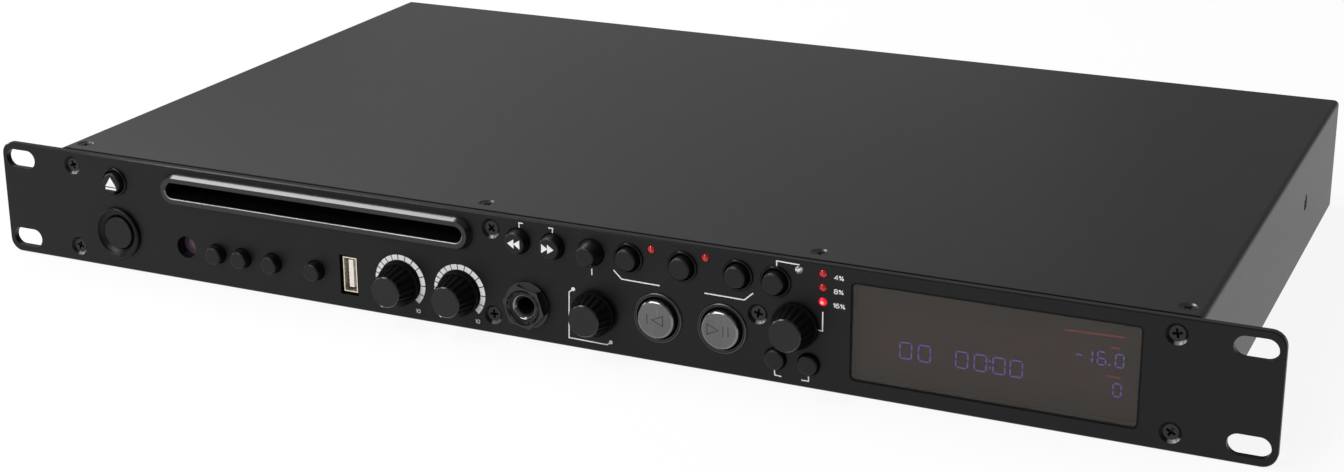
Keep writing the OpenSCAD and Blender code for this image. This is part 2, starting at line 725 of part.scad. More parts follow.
// Indicator lamps, pressed into the panel from behind
module lamp(at) turned(at) polygon(concat(
    [[0, -tray_t], [lamp_r, -tray_t]],
    [for (a = [0 : 15 : 90]) [lamp_r * cos(a), panel_t - 0.6 + (lamp_out + 0.6) * sin(a)]]
));
module red_lamps() color([0.75, 0.05, 0.08]) for (at = red_lamps_at) lamp(at);
module clear_lamp() color([0.9, 0.9, 0.92]) lamp(clear_lamp_at);

// Control board behind the panel, with a push switch for each button
board_left = 3 - wall_x;
board_right = display_at[0] - display_w / 2 - display_lip - 1.4;
slot_half = slot_w / 2 + collar_t + 3;
board_low = floor_top + 1;
board_high = cover_top - (sink_r - screw_head_r) - cover_screw_l - 0.5;
board_step = slot_at[1] - slot_h / 2 - collar_t - 5.5;
module control_board() color([0.1, 0.3, 0.15]) difference() {
    union() {
        along_y(board_y, board_y + board_t) polygon([
            [board_left, board_low], [board_right, board_low], [board_right, board_high],
            [slot_at[0] + slot_half + 5, board_high], [slot_at[0] + slot_half + 5, board_step],
            [slot_at[0] - slot_half - 5, board_step], [slot_at[0] - slot_half - 5, board_high],
            [board_left, board_high]
        ]);
        for (at = button_places) along_y(stem_end, board_y + board_t / 2) translate(at)
            square(switch_w, center = true);
    }
    for (at = button_places) rod_y(at, stem_r + button_gap, stem_end - 1, stem_end + power_travel + 0.4);
    along_y(board_y - 1, board_y + board_t + 1) {
        translate(jack_at) square(jack_body_w + 2 * button_gap, center = true);
        translate(stick_at) square([stick_w + 2 * button_gap, stick_h + 2 * button_gap], center = true);
    }
}

// Main board and power supply on posts above the floor, placed from the tray's right side and the sockets
board_z = floor_top + 6.2;
supply_size = [63, 112];
supply_side_gap = 8.6;
supply_rear_gap = 3.5;
supply_high = [tray_x - tray_t - supply_side_gap, body_d - inlet_d - supply_rear_gap];
supply_low = supply_high - supply_size;
main_size = [106, 152];
main_side_gap = 14;
main_rear_gap = 23.5;
main_high = [supply_low[0] - main_side_gap, body_d - balanced_d - main_rear_gap];
main_low = main_high - main_size;
post_inset = 6;
post_r = 3;
function ends(low, high) = [low + post_inset, high - post_inset];
function corners(low, high) = [for (x = ends(low[0], high[0]), y = ends(low[1], high[1])) [x, y]];
main_posts = corners(main_low, main_high);
supply_posts = corners(supply_low, supply_high);
module board(low, high) block(concat(low, board_z), concat(high, board_z + board_t));
module on_board(low) translate(concat(low, board_z + board_t / 2)) children();

module main_board() color([0.1, 0.3, 0.15]) {
    chip = [20, 20, 3.4];
    plug = [16, 10, 9.4];
    header = [70, 6, 7.4];
    board(main_low, main_high);
    on_board(main_low) {
        for (at = [[16, 38, 0], [54, 48, 0]]) translate(at) cube(chip);
        for (y = [88 : 13 : 127]) rod_z([90, y], 4, 0, 12.4);
        for (x = [14 : 24 : 62]) translate([x, 134, 0]) cube(plug);
        translate([12, 10, 0]) cube(header);
    }
}

module power_supply() color([0.16, 0.28, 0.2]) {
    winding = [38, 36, 26];
    core = [26, 48, 20];
    terminal = [46, 8, 12];
    board(supply_low, supply_high);
    on_board(supply_low) {
        translate([10, 46, 0]) cube(winding);
        translate([16, 40, 0]) cube(core);
        for (x = [12 : 20 : 52]) rod_z([x, 20], 8, 0, 22);
        translate([8, 98, 0]) cube(terminal);
    }
}

// Levels and places in the disc drive
drive_x = slot_at[0];
path_z = slot_at[1];
path_low = path_z - path_h / 2;
path_high = path_z + path_h / 2;
drive_in = slot_w / 2 + drive_side_gap;
drive_out = drive_in + drive_t;
deck_x = drive_in + drive_t / 2;
drive_top = path_high + 0.9;
drive_front = board_y + board_t + 2.4;
drive_back = spindle_y + 76;
seat_z = path_low - 0.2 - hub_h;
deck_z = seat_z - 14.3;
ear_z = floor_top + 8.8;
roller_y = spindle_y - disc_d / 2 - roller_r - 4;
roller_z = path_low - 0.4 - roller_r;
arm_l = gear_module * (gear_teeth + pinion_teeth) / 2;
arm_rise = 1.5;
pivot_y = roller_y + sqrt(arm_l * arm_l - arm_rise * arm_rise);
pivot_z = roller_z - arm_rise;
clamp_y = spindle_y + clamp_reach;
clamp_z = path_high - 0.9;
arm_x = drive_in - 2.6;
arm_t = 1.2;
gear_x1 = drive_x - drive_out - 6;
gear_x0 = gear_x1 - gear_w;
gear_x = (gear_x0 + gear_x1) / 2;
worm_r = 2.5;
worm_z = pivot_z - gear_module * (gear_teeth / 2 + 1) - 0.3 - worm_r;
worm_half = 8;
load_motor_y = pivot_y + worm_half + 4;
rod_x_half = 22;
rod_z_level = seat_z - 7.8;
rod_front = spindle_y + 10;
rod_back = drive_back - drive_t - 1;
screw_x = drive_x + rod_x_half + 11;
screw_rod_r = pin_r + 0.1;
sled_ahead = 8;
sled_behind = 12;
lens_y = spindle_y + lens_start;
dampers_y = [spindle_y - 4, drive_back - 14];
damper_x = drive_out + 7;
bracket_w = 6;

// Frame of the drive: walled deck with pin holes, rod brackets, damper ears and a motor bracket
module drive_frame() color([0.62, 0.63, 0.65]) difference() {
    union() {
        for (x = [-1, 1]) drive_side(x);
        block([drive_x - deck_x, pivot_y + 8, deck_z], [drive_x + deck_x, drive_back, deck_z + drive_t]);
        block([drive_x - deck_x, drive_back - drive_t, deck_z], [drive_x + deck_x, drive_back, drive_top]);
        for (x = [-rod_x_half, rod_x_half], y = [rod_front, rod_back - 3])
            rod_bracket(drive_x + x, y);
        rod_bracket(screw_x, rod_front);
        for (x = [-1, 1], y = dampers_y) damper_ear(x, y);
        block(
            [gear_x - motor_r, load_motor_y - drive_t, worm_z - motor_r],
            [drive_x - drive_in, load_motor_y, worm_z + motor_r]
        );
    }
    for (x = [-rod_x_half, rod_x_half])
        rod_y([drive_x + x, rod_z_level], pin_r + touch, rod_front - 1, rod_back + 1);
    rod_y([screw_x, rod_z_level], screw_rod_r + pin_fit, rod_front - 1, rod_front + 4);
    rod_y([screw_x, rod_z_level], screw_rod_r + 0.6, rod_back - 1, drive_back + 1);
    rod_y([gear_x, worm_z], 2, load_motor_y - 2, load_motor_y + 1);
    block(
        [drive_x - rod_x_half + 5, lens_y - 6, deck_z - 1],
        [drive_x + rod_x_half - 5, lens_y + sled_travel + 6, deck_z + drive_t + 1]
    );
}

module drive_side(x) {
    inner = drive_x + x * drive_in;
    outer = drive_x + x * drive_out;
    along_x(min(inner, outer), max(inner, outer)) difference() {
        polygon([
            [drive_front, path_low - 9], [pivot_y - 8, path_low - 9], [pivot_y + 8, deck_z],
            [dampers_y[0] - 8, deck_z], [dampers_y[0] - 6, ear_z], [dampers_y[1] + 6, ear_z],
            [drive_back, deck_z], [drive_back, drive_top], [drive_front, drive_top]
        ]);
        translate([pivot_y, pivot_z]) circle(pin_r + pin_fit);
        translate([clamp_y, clamp_z]) circle(pin_r + pin_fit);
        translate([roller_y, roller_z + 1.2]) rotate(90) stadium(2 * pin_r + 4.4, 2 * pin_r + 1.6);
    }
}

module rod_bracket(x, y) block([x - bracket_w / 2, y, deck_z], [x + bracket_w / 2, y + 3, rod_z_level + 3.2]);

module damper_ear(x, y) difference() {
    block(
        [min(drive_x + x * drive_in, drive_x + x * (damper_x + 6)), y - 6, ear_z],
        [max(drive_x + x * drive_in, drive_x + x * (damper_x + 6)), y + 6, ear_z + drive_t]
    );
    rod_z([drive_x + x * damper_x, y], damper_neck_r + press, ear_z - 1, ear_z + drive_t + 1);
}

// Rubber dampers between the floor and the drive's ears
damper_neck_r = 3;
module drive_dampers() color([0.08, 0.08, 0.08]) for (x = [-1, 1], y = dampers_y)
    translate([drive_x + x * damper_x, y, 0]) rotate_extrude() polygon([
        [0, floor_top], [5.4, floor_top], [5.4, ear_z - 1.6], [4.4, ear_z - press],
        [damper_neck_r, ear_z - press], [damper_neck_r, ear_z + drive_t + press],
        [4.4, ear_z + drive_t + press], [3.4, ear_z + drive_t + 1.6], [0, ear_z + drive_t + 1.6]
    ]);

// Disc guide: plate above the slot with rails that lead the disc
module disc_guide() color([0.9, 0.9, 0.88]) {
    plate_t = 1.4;
    guide_back = roller_y + 40;
    block(
        [drive_x - drive_out, drive_front, drive_top], [drive_x + drive_out, guide_back, drive_top + plate_t]
    );
    for (x = [-1, 1]) translate([drive_x + x * (drive_in - 6), 0, 0]) along_x(-3, 3) polygon([
        [drive_front, drive_top + plate_t / 2], [drive_front + 4, path_high + 0.3],
        [guide_back - 4, path_high + 0.3], [guide_back, drive_top + plate_t / 2]
    ]);
}

// Roller arm: two cheeks on pivot pins and a bar between them
module roller_arm() color([0.7, 0.7, 0.72]) {
    for (x = [-1, 1]) arm_cheek(drive_x + x * arm_x);
    block(
        [drive_x - arm_x, pivot_y - 7, pivot_z - 3.4], [drive_x + arm_x, pivot_y - 1, pivot_z - 2.2]
    );
    rod_x([pivot_y, pivot_z], pin_r, gear_x0 - 1, drive_x - arm_x);
    rod_x([pivot_y, pivot_z], pin_r, drive_x + arm_x, drive_x + drive_out + 1);
}
module arm_cheek(x) along_x(x - arm_t / 2, x + arm_t / 2) difference() {
    union() {
        translate([pivot_y, pivot_z]) circle(3.6);
        translate([roller_y, roller_z]) circle(3.4);
        polygon([
            [roller_y, roller_z - 3.2], [pivot_y, pivot_z - 3.4],
            [pivot_y, pivot_z + 3.2], [roller_y, roller_z + 3.2]
        ]);
    }
    translate([roller_y, roller_z]) circle(pin_r + pin_fit);
}

// Outline of an involute gear, with one tooth centred on the angle given
pressure = 20;
backlash = 0.09;
function involute(base_r, r) = sqrt(max(0, pow(r / base_r, 2) - 1)) * 180 / PI - acos(min(1, base_r / r));
function tooth_half(teeth, r) =
    let (pitch_r = teeth * gear_module / 2, base_r = pitch_r * cos(pressure))
    (PI * gear_module / 4 - backlash / 2) / pitch_r * 180 / PI
        + involute(base_r, pitch_r) - involute(base_r, max(r, base_r));
function flank_radii(teeth) =
    let (pitch_r = teeth * gear_module / 2, root_r = pitch_r - 1.2 * gear_module)
    [for (i = [0 : 4]) root_r + (pitch_r + 0.95 * gear_module - root_r) * i / 4];
function gear_outline(teeth, turn) = [
    for (i = [0 : teeth - 1], side = [-1, 1], k = [0 : 4])
        let (r = flank_radii(teeth)[side < 0 ? k : 4 - k])
        polar(r, turn + 360 * i / teeth + side * tooth_half(teeth, r))
];
mesh_angle = atan2(roller_z - pivot_z, roller_y - pivot_y);

// Loading gear on the arm's pivot pin
module loading_gear() color([0.92, 0.92, 0.88]) along_x(gear_x0, gear_x1) difference() {
    translate([pivot_y, pivot_z]) polygon(gear_outline(gear_teeth, mesh_angle));
    translate([pivot_y, pivot_z]) circle(pin_r + pin_fit);
    for (a = [0 : 60 : 300]) translate([pivot_y, pivot_z] + polar(6.2, a)) circle(1.8);
}

// Loading roller: waisted rubber on a shaft, with its pinion
module loading_roller() color([0.12, 0.12, 0.12]) {
    half = arm_x - arm_t / 2 - 0.5;
    rod_x([roller_y, roller_z], pin_r, gear_x0, drive_x + arm_x + arm_t / 2 + 0.5);
    translate([drive_x, roller_y, roller_z]) rotate([0, 90, 0]) rotate_extrude() polygon([
        [0, -half], [roller_r, -half], [roller_r - 0.6, 0], [roller_r, half], [0, half]
    ]);
    along_x(gear_x0, gear_x1) translate([roller_y, roller_z])
        polygon(gear_outline(pinion_teeth, mesh_angle + 180 + 180 / pinion_teeth));
}

// Worm on the loading motor's shaft
module loading_worm() color([0.85, 0.75, 0.4]) {
    rod_y([gear_x, worm_z], worm_r, pivot_y - worm_half, pivot_y + worm_half);
    rod_y([gear_x, worm_z], 1, pivot_y, load_motor_y + 6);
}

// Motors: loading, pickup and turntable
module drive_motors() color([0.6, 0.6, 0.62]) {
    difference() {
        rod_y([gear_x, worm_z], motor_r, load_motor_y, load_motor_y + motor_l);
        rod_y([gear_x, worm_z], 1 + pin_fit, load_motor_y - 1, load_motor_y + 7);
    }
    difference() {
        rod_y([screw_x, rod_z_level], motor_r, drive_back, drive_back + motor_l);
        rod_y([screw_x, rod_z_level], screw_rod_r + pin_fit, drive_back - 1, drive_back + 8);
    }
    difference() {
        rod_z([drive_x, spindle_y], turntable_r - 2, deck_z + drive_t, seat_z - 5);
        rod_z([drive_x, spindle_y], 1 + pin_fit, seat_z - 11, seat_z);
    }
}

// Turntable with a tapered hub and its spindle
module turntable() color([0.15, 0.15, 0.15])
    translate([drive_x, spindle_y, seat_z]) rotate_extrude() polygon([
        [0, -10.5], [1, -10.5], [1, -4.4], [5, -4.4], [5, -1.6], [turntable_r, -1.6], [turntable_r, 0],
        [hub_r, 0], [hub_r, hub_h / 3], [hub_r - 1.6, hub_h], [0, hub_h]
    ]);

// Clamp arm: plate on two ears with pivot pins
clamp_plate_z = path_high + 2.1;
clamp_plate_t = 1;
clamp_ear_x = drive_in - 2;
clamp_nose_r = 14;
clamp_outline = [
    [-clamp_ear_x, 6], [-clamp_ear_x, -10], [-clamp_nose_r, -45], [-clamp_nose_r, -clamp_reach],
    [clamp_nose_r, -clamp_reach], [clamp_nose_r, -45], [clamp_ear_x, -10], [clamp_ear_x, 6]
];
module clamp_arm() color([0.7, 0.7, 0.72]) {
    difference() {
        along_z(clamp_plate_z, clamp_plate_z + clamp_plate_t) union() {
            polygon([for (p = clamp_outline) clamp_point(p)]);
            translate([drive_x, spindle_y]) circle(clamp_nose_r);
        }
        rod_z([drive_x, spindle_y], puck_stem_r + 0.7, clamp_plate_z - 1, clamp_plate_z + clamp_plate_t + 1);
        for (p = [[-22, -14], [22, -14], [0, -26]])
            rod_z(clamp_point(p), 7, clamp_plate_z - 1, clamp_plate_z + clamp_plate_t + 1);
    }
    for (x = [-1, 1]) {
        ear = drive_x + x * (clamp_ear_x - 0.5);
        along_x(ear - 0.5, ear + 0.5) polygon([
            [clamp_y - 5, clamp_plate_z + 0.5], [clamp_y - 2.6, clamp_z - 2.6],
            [clamp_y + 2.6, clamp_z - 2.6], [clamp_y + 5, clamp_plate_z + 0.5]
        ]);
        pin_end = drive_x + x * (drive_out + 0.8);
        rod_x([clamp_y, clamp_z], pin_r, min(ear, pin_end), max(ear, pin_end));
    }
}
function clamp_point(p) = [drive_x + p[0], clamp_y + p[1]];

// Clamp puck, hung in the arm's hole, with a hollow for the hub
puck_r = 11;
puck_stem_r = 3.5;
module clamp_puck() color([0.85, 0.85, 0.83]) translate([drive_x, spindle_y, 0]) rotate_extrude() polygon([
    [0, path_high + 1.3], [hub_r + 0.9, path_high + 1.3], [hub_r + 0.9, path_high + 0.3],
    [puck_r, path_high + 0.3], [puck_r, clamp_plate_z - 0.3], [puck_stem_r, clamp_plate_z - 0.3],
    [puck_stem_r, clamp_plate_z + clamp_plate_t + 0.1], [6.5, clamp_plate_z + clamp_plate_t + 0.1],
    [6, clamp_plate_z + clamp_plate_t + 0.8], [0, clamp_plate_z + clamp_plate_t + 0.8]
]);

// Pickup sled on its rods, with the lens and a follower beside the lead screw
module pickup_sled() color([0.25, 0.25, 0.27]) {
    half = rod_x_half + 5;
    low = rod_z_level - 3;
    top = rod_z_level + 4.6;
    front = lens_y - sled_ahead;
    back = lens_y + sled_behind;
    difference() {
        union() {
            block([drive_x - half, front, low], [drive_x + half, back, top - 1.4]);
            block([drive_x - 14, front + 1, low], [drive_x + 14, back - 1, top]);
            block(
                [drive_x + half - 1, lens_y + 2, rod_z_level - 1.2],
                [screw_x - screw_rod_r - 0.3, lens_y + 8, rod_z_level + 1.2]
            );
        }
        for (x = [-rod_x_half, rod_x_half])
            rod_y([drive_x + x, rod_z_level], pin_r + pin_fit, front - 1, back + 1);
    }
    rod_z([drive_x, lens_y], 5, top - 0.5, top + 0.8);
    rod_z([drive_x, lens_y], 2.2, top, top + 1.5);
}

module guide_rods() color([0.8, 0.8, 0.82]) for (x = [-rod_x_half, rod_x_half])
    rod_y([drive_x + x, rod_z_level], pin_r, rod_front, rod_back);

module lead_screw() color([0.8, 0.78, 0.7])
    rod_y([screw_x, rod_z_level], screw_rod_r, rod_front + 0.5, drive_back + 7);

// Mains inlet: flanged housing with a six-sided recess and three blades
inlet_w = 27.4;
inlet_h = 20;
module mains_inlet() color([0.08, 0.08, 0.08]) {
    flange_t2 = 2.4;
    recess_w = 24.4;
    recess_h = 16.4;
    recess_d = 17;
    corner = 4;
    face = body_d + flange_t2;
    difference() {
        union() {
            along_y(body_d, face) translate(inlet_at) rounded(inlet_w + 5, inlet_h + 5, 2.5);
            along_y(body_d - inlet_d, body_d + touch) translate(inlet_at)
                square([inlet_w, inlet_h], center = true);
        }
        along_y(face - recess_d, face + 1) translate(inlet_at) polygon([
            [-recess_w, -recess_h] / 2, [recess_w, -recess_h] / 2, [recess_w, recess_h - 2 * corner] / 2,
            [recess_w - 2 * corner, recess_h] / 2, [2 * corner - recess_w, recess_h] / 2,
            [-recess_w, recess_h - 2 * corner] / 2
        ]);
    }
    for (p = [[-7, -2], [0, 2], [7, -2]]) along_y(face - recess_d - 1, face - 3) translate(inlet_at + p)
        square([2, 4], center = true);
}

// Phono sockets: insulated base and a slotted sleeve with its contact bore
phono_base_r = 5.6;
phono_places = [for (x = [-0.5, 0.5]) phono_at + [x * phono_pitch, 0]];
module phono_sockets() color([0.8, 0.7, 0.4]) for (at = phono_places) difference() {
    sleeve_r = 4.15;
    union() {
        rod_y(at, phono_base_r, body_d - 9, body_d + 0.8);
        rod_y(at, phono_base_r + 1, body_d, body_d + 1.6);
        rod_y(at, sleeve_r, body_d, body_d + 9.5);
    }
    rod_y(at, 1.7, body_d - 6, body_d + 11);
    difference() {
        rod_y(at, sleeve_r - 0.6, body_d + 4, body_d + 11);
        rod_y(at, 2.9, body_d + 3, body_d + 9);
    }
}

// Balanced output sockets: square flange, round recess, three contact pins
balanced_body_r = 11.8;
balanced_places = [for (x = [0, 1]) balanced_at + [x * balanced_pitch, 0]];
module balanced_sockets() color([0.12, 0.12, 0.12]) for (at = balanced_places) {
    recess_r = 9.4;
    flange_h = 2;
    pin_circle_r = 5.4;
    difference() {
        union() {
            along_y(body_d, body_d + flange_h) translate(at) rounded(26, 31, 2.5);
            rod_y(at, balanced_body_r, body_d - balanced_d, body_d + touch);
        }
        rod_y(at, recess_r, body_d - 14, body_d + flange_h + 1);
        for (s = [-1, 1]) rod_y(at + s * [9.5, 12], 1.6, body_d - 1, body_d + flange_h + 1);
    }
    for (a = [30, 150, 270]) rod_y(at + polar(pin_circle_r, a), 1.2, body_d - 15, body_d - 1);
}

// Push buttons
module eject_button() color([0.16, 0.16, 0.17])
    push_button(eject_at, ringed_d, ringed_out - 0.7, 0.3, 0.8, ringed_hole(ringed_d));
module power_button() color([0.16, 0.16, 0.17])
    push_button(power_at, power_d, power_out, 0.1, 0.4, ringed_hole(power_d));
module small_button(at) color([0.15, 0.15, 0.16])
    push_button(at, small_d, small_out, 0.3, 0.7, plain_hole(small_d));
module single_button() small_button(single_at);
module time_button() small_button(time_at);
module tempo_button() small_button(tempo_at);
module source_button() small_button(source_at);
module search_button(at) color([0.15, 0.15, 0.16])
    push_button(at, search_d, search_out, 0.6, 0.8, plain_hole(search_d));
module search_back_button() search_button(search_back_at);
module search_forward_button() search_button(search_forward_at);
module back_button() color([0.15, 0.15, 0.16])
    push_button(back_at, back_d, back_out, 1.2, 0.9, plain_hole(back_d));
module ringed_button(at) color([0.15, 0.15, 0.16])
    push_button(at, ringed_d, ringed_out, 0.3, 0.8, ringed_hole(ringed_d));
module loop_in_button() ringed_button(loop_in_at);
module loop_out_button() ringed_button(loop_out_at);
module loop_again_button() ringed_button(loop_again_at);
module pitch_on_button() ringed_button(pitch_on_at);
module cue_play_button(at) color([0.42, 0.42, 0.43])
    push_button(at, cue_d, cue_out, 0.2, 1, ringed_hole(cue_d));
module cue_button() cue_play_button(cue_at);
module play_button() cue_play_button(play_at);
module bend_button(at) color([0.15, 0.15, 0.16])
    push_button(at, bend_d, bend_out, 0.2, 0.8, plain_hole(bend_d));
module bend_down_button() bend_button(bend_down_at);
module bend_up_button() bend_button(bend_up_at);

// Knobs
module black_knob(at, gap, out) color([0.16, 0.16, 0.17]) knob(at, gap, out);
module master_knob() black_knob(master_at, knob_gap, knob_out);
module mic_knob() black_knob(mic_at, knob_gap, knob_out);
module pitch_knob() black_knob(pitch_at, knob_gap, knob_out);
module select_knob() black_knob(select_at, knob_gap + button_travel, select_out);

front_panel();
chassis_tray();
front_wall();
rear_wall();
top_cover();
case_screws();
slot_bezel();
button_rings();
display_window();
display_module();
ir_window();
stick_port();
mic_jack();
jack_nut();
level_pots();
select_encoder();
red_lamps();
clear_lamp();
control_board();
main_board();
power_supply();
drive_frame();
disc_guide();
drive_dampers();
drive_motors();
guide_rods();
mains_inlet();
phono_sockets();
balanced_sockets();
eject_button();
power_button();
single_button();
time_button();
tempo_button();
source_button();
search_back_button();
search_forward_button();
back_button();
loop_in_button();
loop_out_button();
loop_again_button();
pitch_on_button();
cue_button();
play_button();
bend_down_button();
bend_up_button();
master_knob();
mic_knob();
pitch_knob();
select_knob();
select_plunger();
roller_arm();
loading_roller();
loading_gear();
loading_worm();
turntable();
clamp_arm();
clamp_puck();
pickup_sled();
lead_screw();
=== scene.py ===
"""Looks of a slot-loading disc player for a 19-inch rack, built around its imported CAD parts."""

import math

import bmesh
import bpy
from mathutils import Matrix, Vector


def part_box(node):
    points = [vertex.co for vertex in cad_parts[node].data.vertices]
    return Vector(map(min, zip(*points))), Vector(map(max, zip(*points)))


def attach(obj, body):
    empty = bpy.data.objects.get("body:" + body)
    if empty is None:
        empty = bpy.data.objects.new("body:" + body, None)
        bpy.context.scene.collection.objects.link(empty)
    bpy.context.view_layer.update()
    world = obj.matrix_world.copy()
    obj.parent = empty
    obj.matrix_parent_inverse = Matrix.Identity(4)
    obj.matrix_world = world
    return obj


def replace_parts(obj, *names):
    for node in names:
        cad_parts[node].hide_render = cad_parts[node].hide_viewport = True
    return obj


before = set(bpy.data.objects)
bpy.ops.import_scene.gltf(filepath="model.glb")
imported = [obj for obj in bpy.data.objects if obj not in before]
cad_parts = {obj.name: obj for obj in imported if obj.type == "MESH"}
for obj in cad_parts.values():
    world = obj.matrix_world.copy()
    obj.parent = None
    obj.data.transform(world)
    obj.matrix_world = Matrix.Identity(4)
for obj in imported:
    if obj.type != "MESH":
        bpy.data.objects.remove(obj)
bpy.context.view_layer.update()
MM = 0.001
ROOT = "chassis"


# Places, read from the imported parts

def low(node):
    return Vector(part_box(node)[0])


def high(node):
    return Vector(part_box(node)[1])


def middle(node):
    return (low(node) + high(node)) / 2


def solids_of(node):
    """Lowest and highest corner of each separate solid of a node, from left to right."""
    mesh = bmesh.new()
    mesh.from_mesh(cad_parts[node].data)
    bmesh.ops.remove_doubles(mesh, verts=mesh.verts, dist=0.001 * MM)
    left, boxes = set(mesh.verts), []
    while left:
        island, front = set(), [left.pop()]
        while front:
            vert = front.pop()
            island.add(vert)
            for edge in vert.link_edges:
                other = edge.other_vert(vert)
                if other in left:
                    left.remove(other)
                    front.append(other)
        corners = [[pick(v.co[i] for v in island) for i in range(3)] for pick in (min, max)]
        boxes.append(tuple(Vector(c) for c in corners))
    mesh.free()
    return sorted(boxes, key=lambda b: (round(b[0].x, 5), b[0].y, b[0].z))


PANEL_Y = low("front_panel").y
FLOOR_Z = low("chassis_tray").z
REAR_Y = high("rear_wall").y
TOP_Z = high("top_cover").z

# Turns that bring a shape drawn flat, with its height along Z, to a side of the part
FRONT = Matrix(((1, 0, 0), (0, 0, -1), (0, 1, 0))).to_4x4()
TOP = Matrix.Identity(4)
RIGHT = Matrix.Rotation(math.radians(90), 4, "Y")
LEFT = Matrix.Rotation(math.radians(-90), 4, "Y")


def facing(turn, at):
    """Place of a shape that is drawn in millimetres round its own origin."""
    return Matrix.Translation(at) @ turn @ Matrix.Scale(MM, 4)


def on_front(node, y=PANEL_Y):
    """Place in front of a node's middle, by default on the panel."""
    at = middle(node)
    return facing(FRONT, (at.x, y, at.z))


# Camera, at the photograph's viewing angle

IMAGE_W, IMAGE_H = 1344, 472
VIEW_AZIMUTH = math.radians(25.745)
VIEW_ELEVATION = math.radians(17.845)
VIEW_ROLL = math.radians(-0.641)
CAMERA_AT = Vector((0.3310, -0.6318, 0.2700))
FOCAL_PIXELS = 2218.9
CENTRE_PIXEL = (632, 170)
SENSOR_MM = 36.0
CAMERA_REACH = 50


def add_camera():
    data = bpy.data.cameras.new("camera")
    data.sensor_fit = "HORIZONTAL"
    data.sensor_width = SENSOR_MM
    data.lens = FOCAL_PIXELS / IMAGE_W * SENSOR_MM
    data.shift_x = (IMAGE_W / 2 - CENTRE_PIXEL[0]) / IMAGE_W
    data.shift_y = (CENTRE_PIXEL[1] - IMAGE_H / 2) / IMAGE_W
    data.clip_end = CAMERA_REACH
    forward = Vector((
        -math.sin(VIEW_AZIMUTH) * math.cos(VIEW_ELEVATION),
        math.cos(VIEW_AZIMUTH) * math.cos(VIEW_ELEVATION),
        -math.sin(VIEW_ELEVATION),
    ))
    level_right = Vector((math.cos(VIEW_AZIMUTH), math.sin(VIEW_AZIMUTH), 0))
    level_up = level_right.cross(forward)
    right = level_right * math.cos(VIEW_ROLL) + level_up * math.sin(VIEW_ROLL)
    up = level_up * math.cos(VIEW_ROLL) - level_right * math.sin(VIEW_ROLL)
    camera = bpy.data.objects.new("camera", data)
    bpy.context.collection.objects.link(camera)
    turn = Matrix((right, up, -forward)).transposed().to_4x4()
    camera.matrix_world = Matrix.Translation(CAMERA_AT) @ turn
    bpy.context.scene.camera = camera
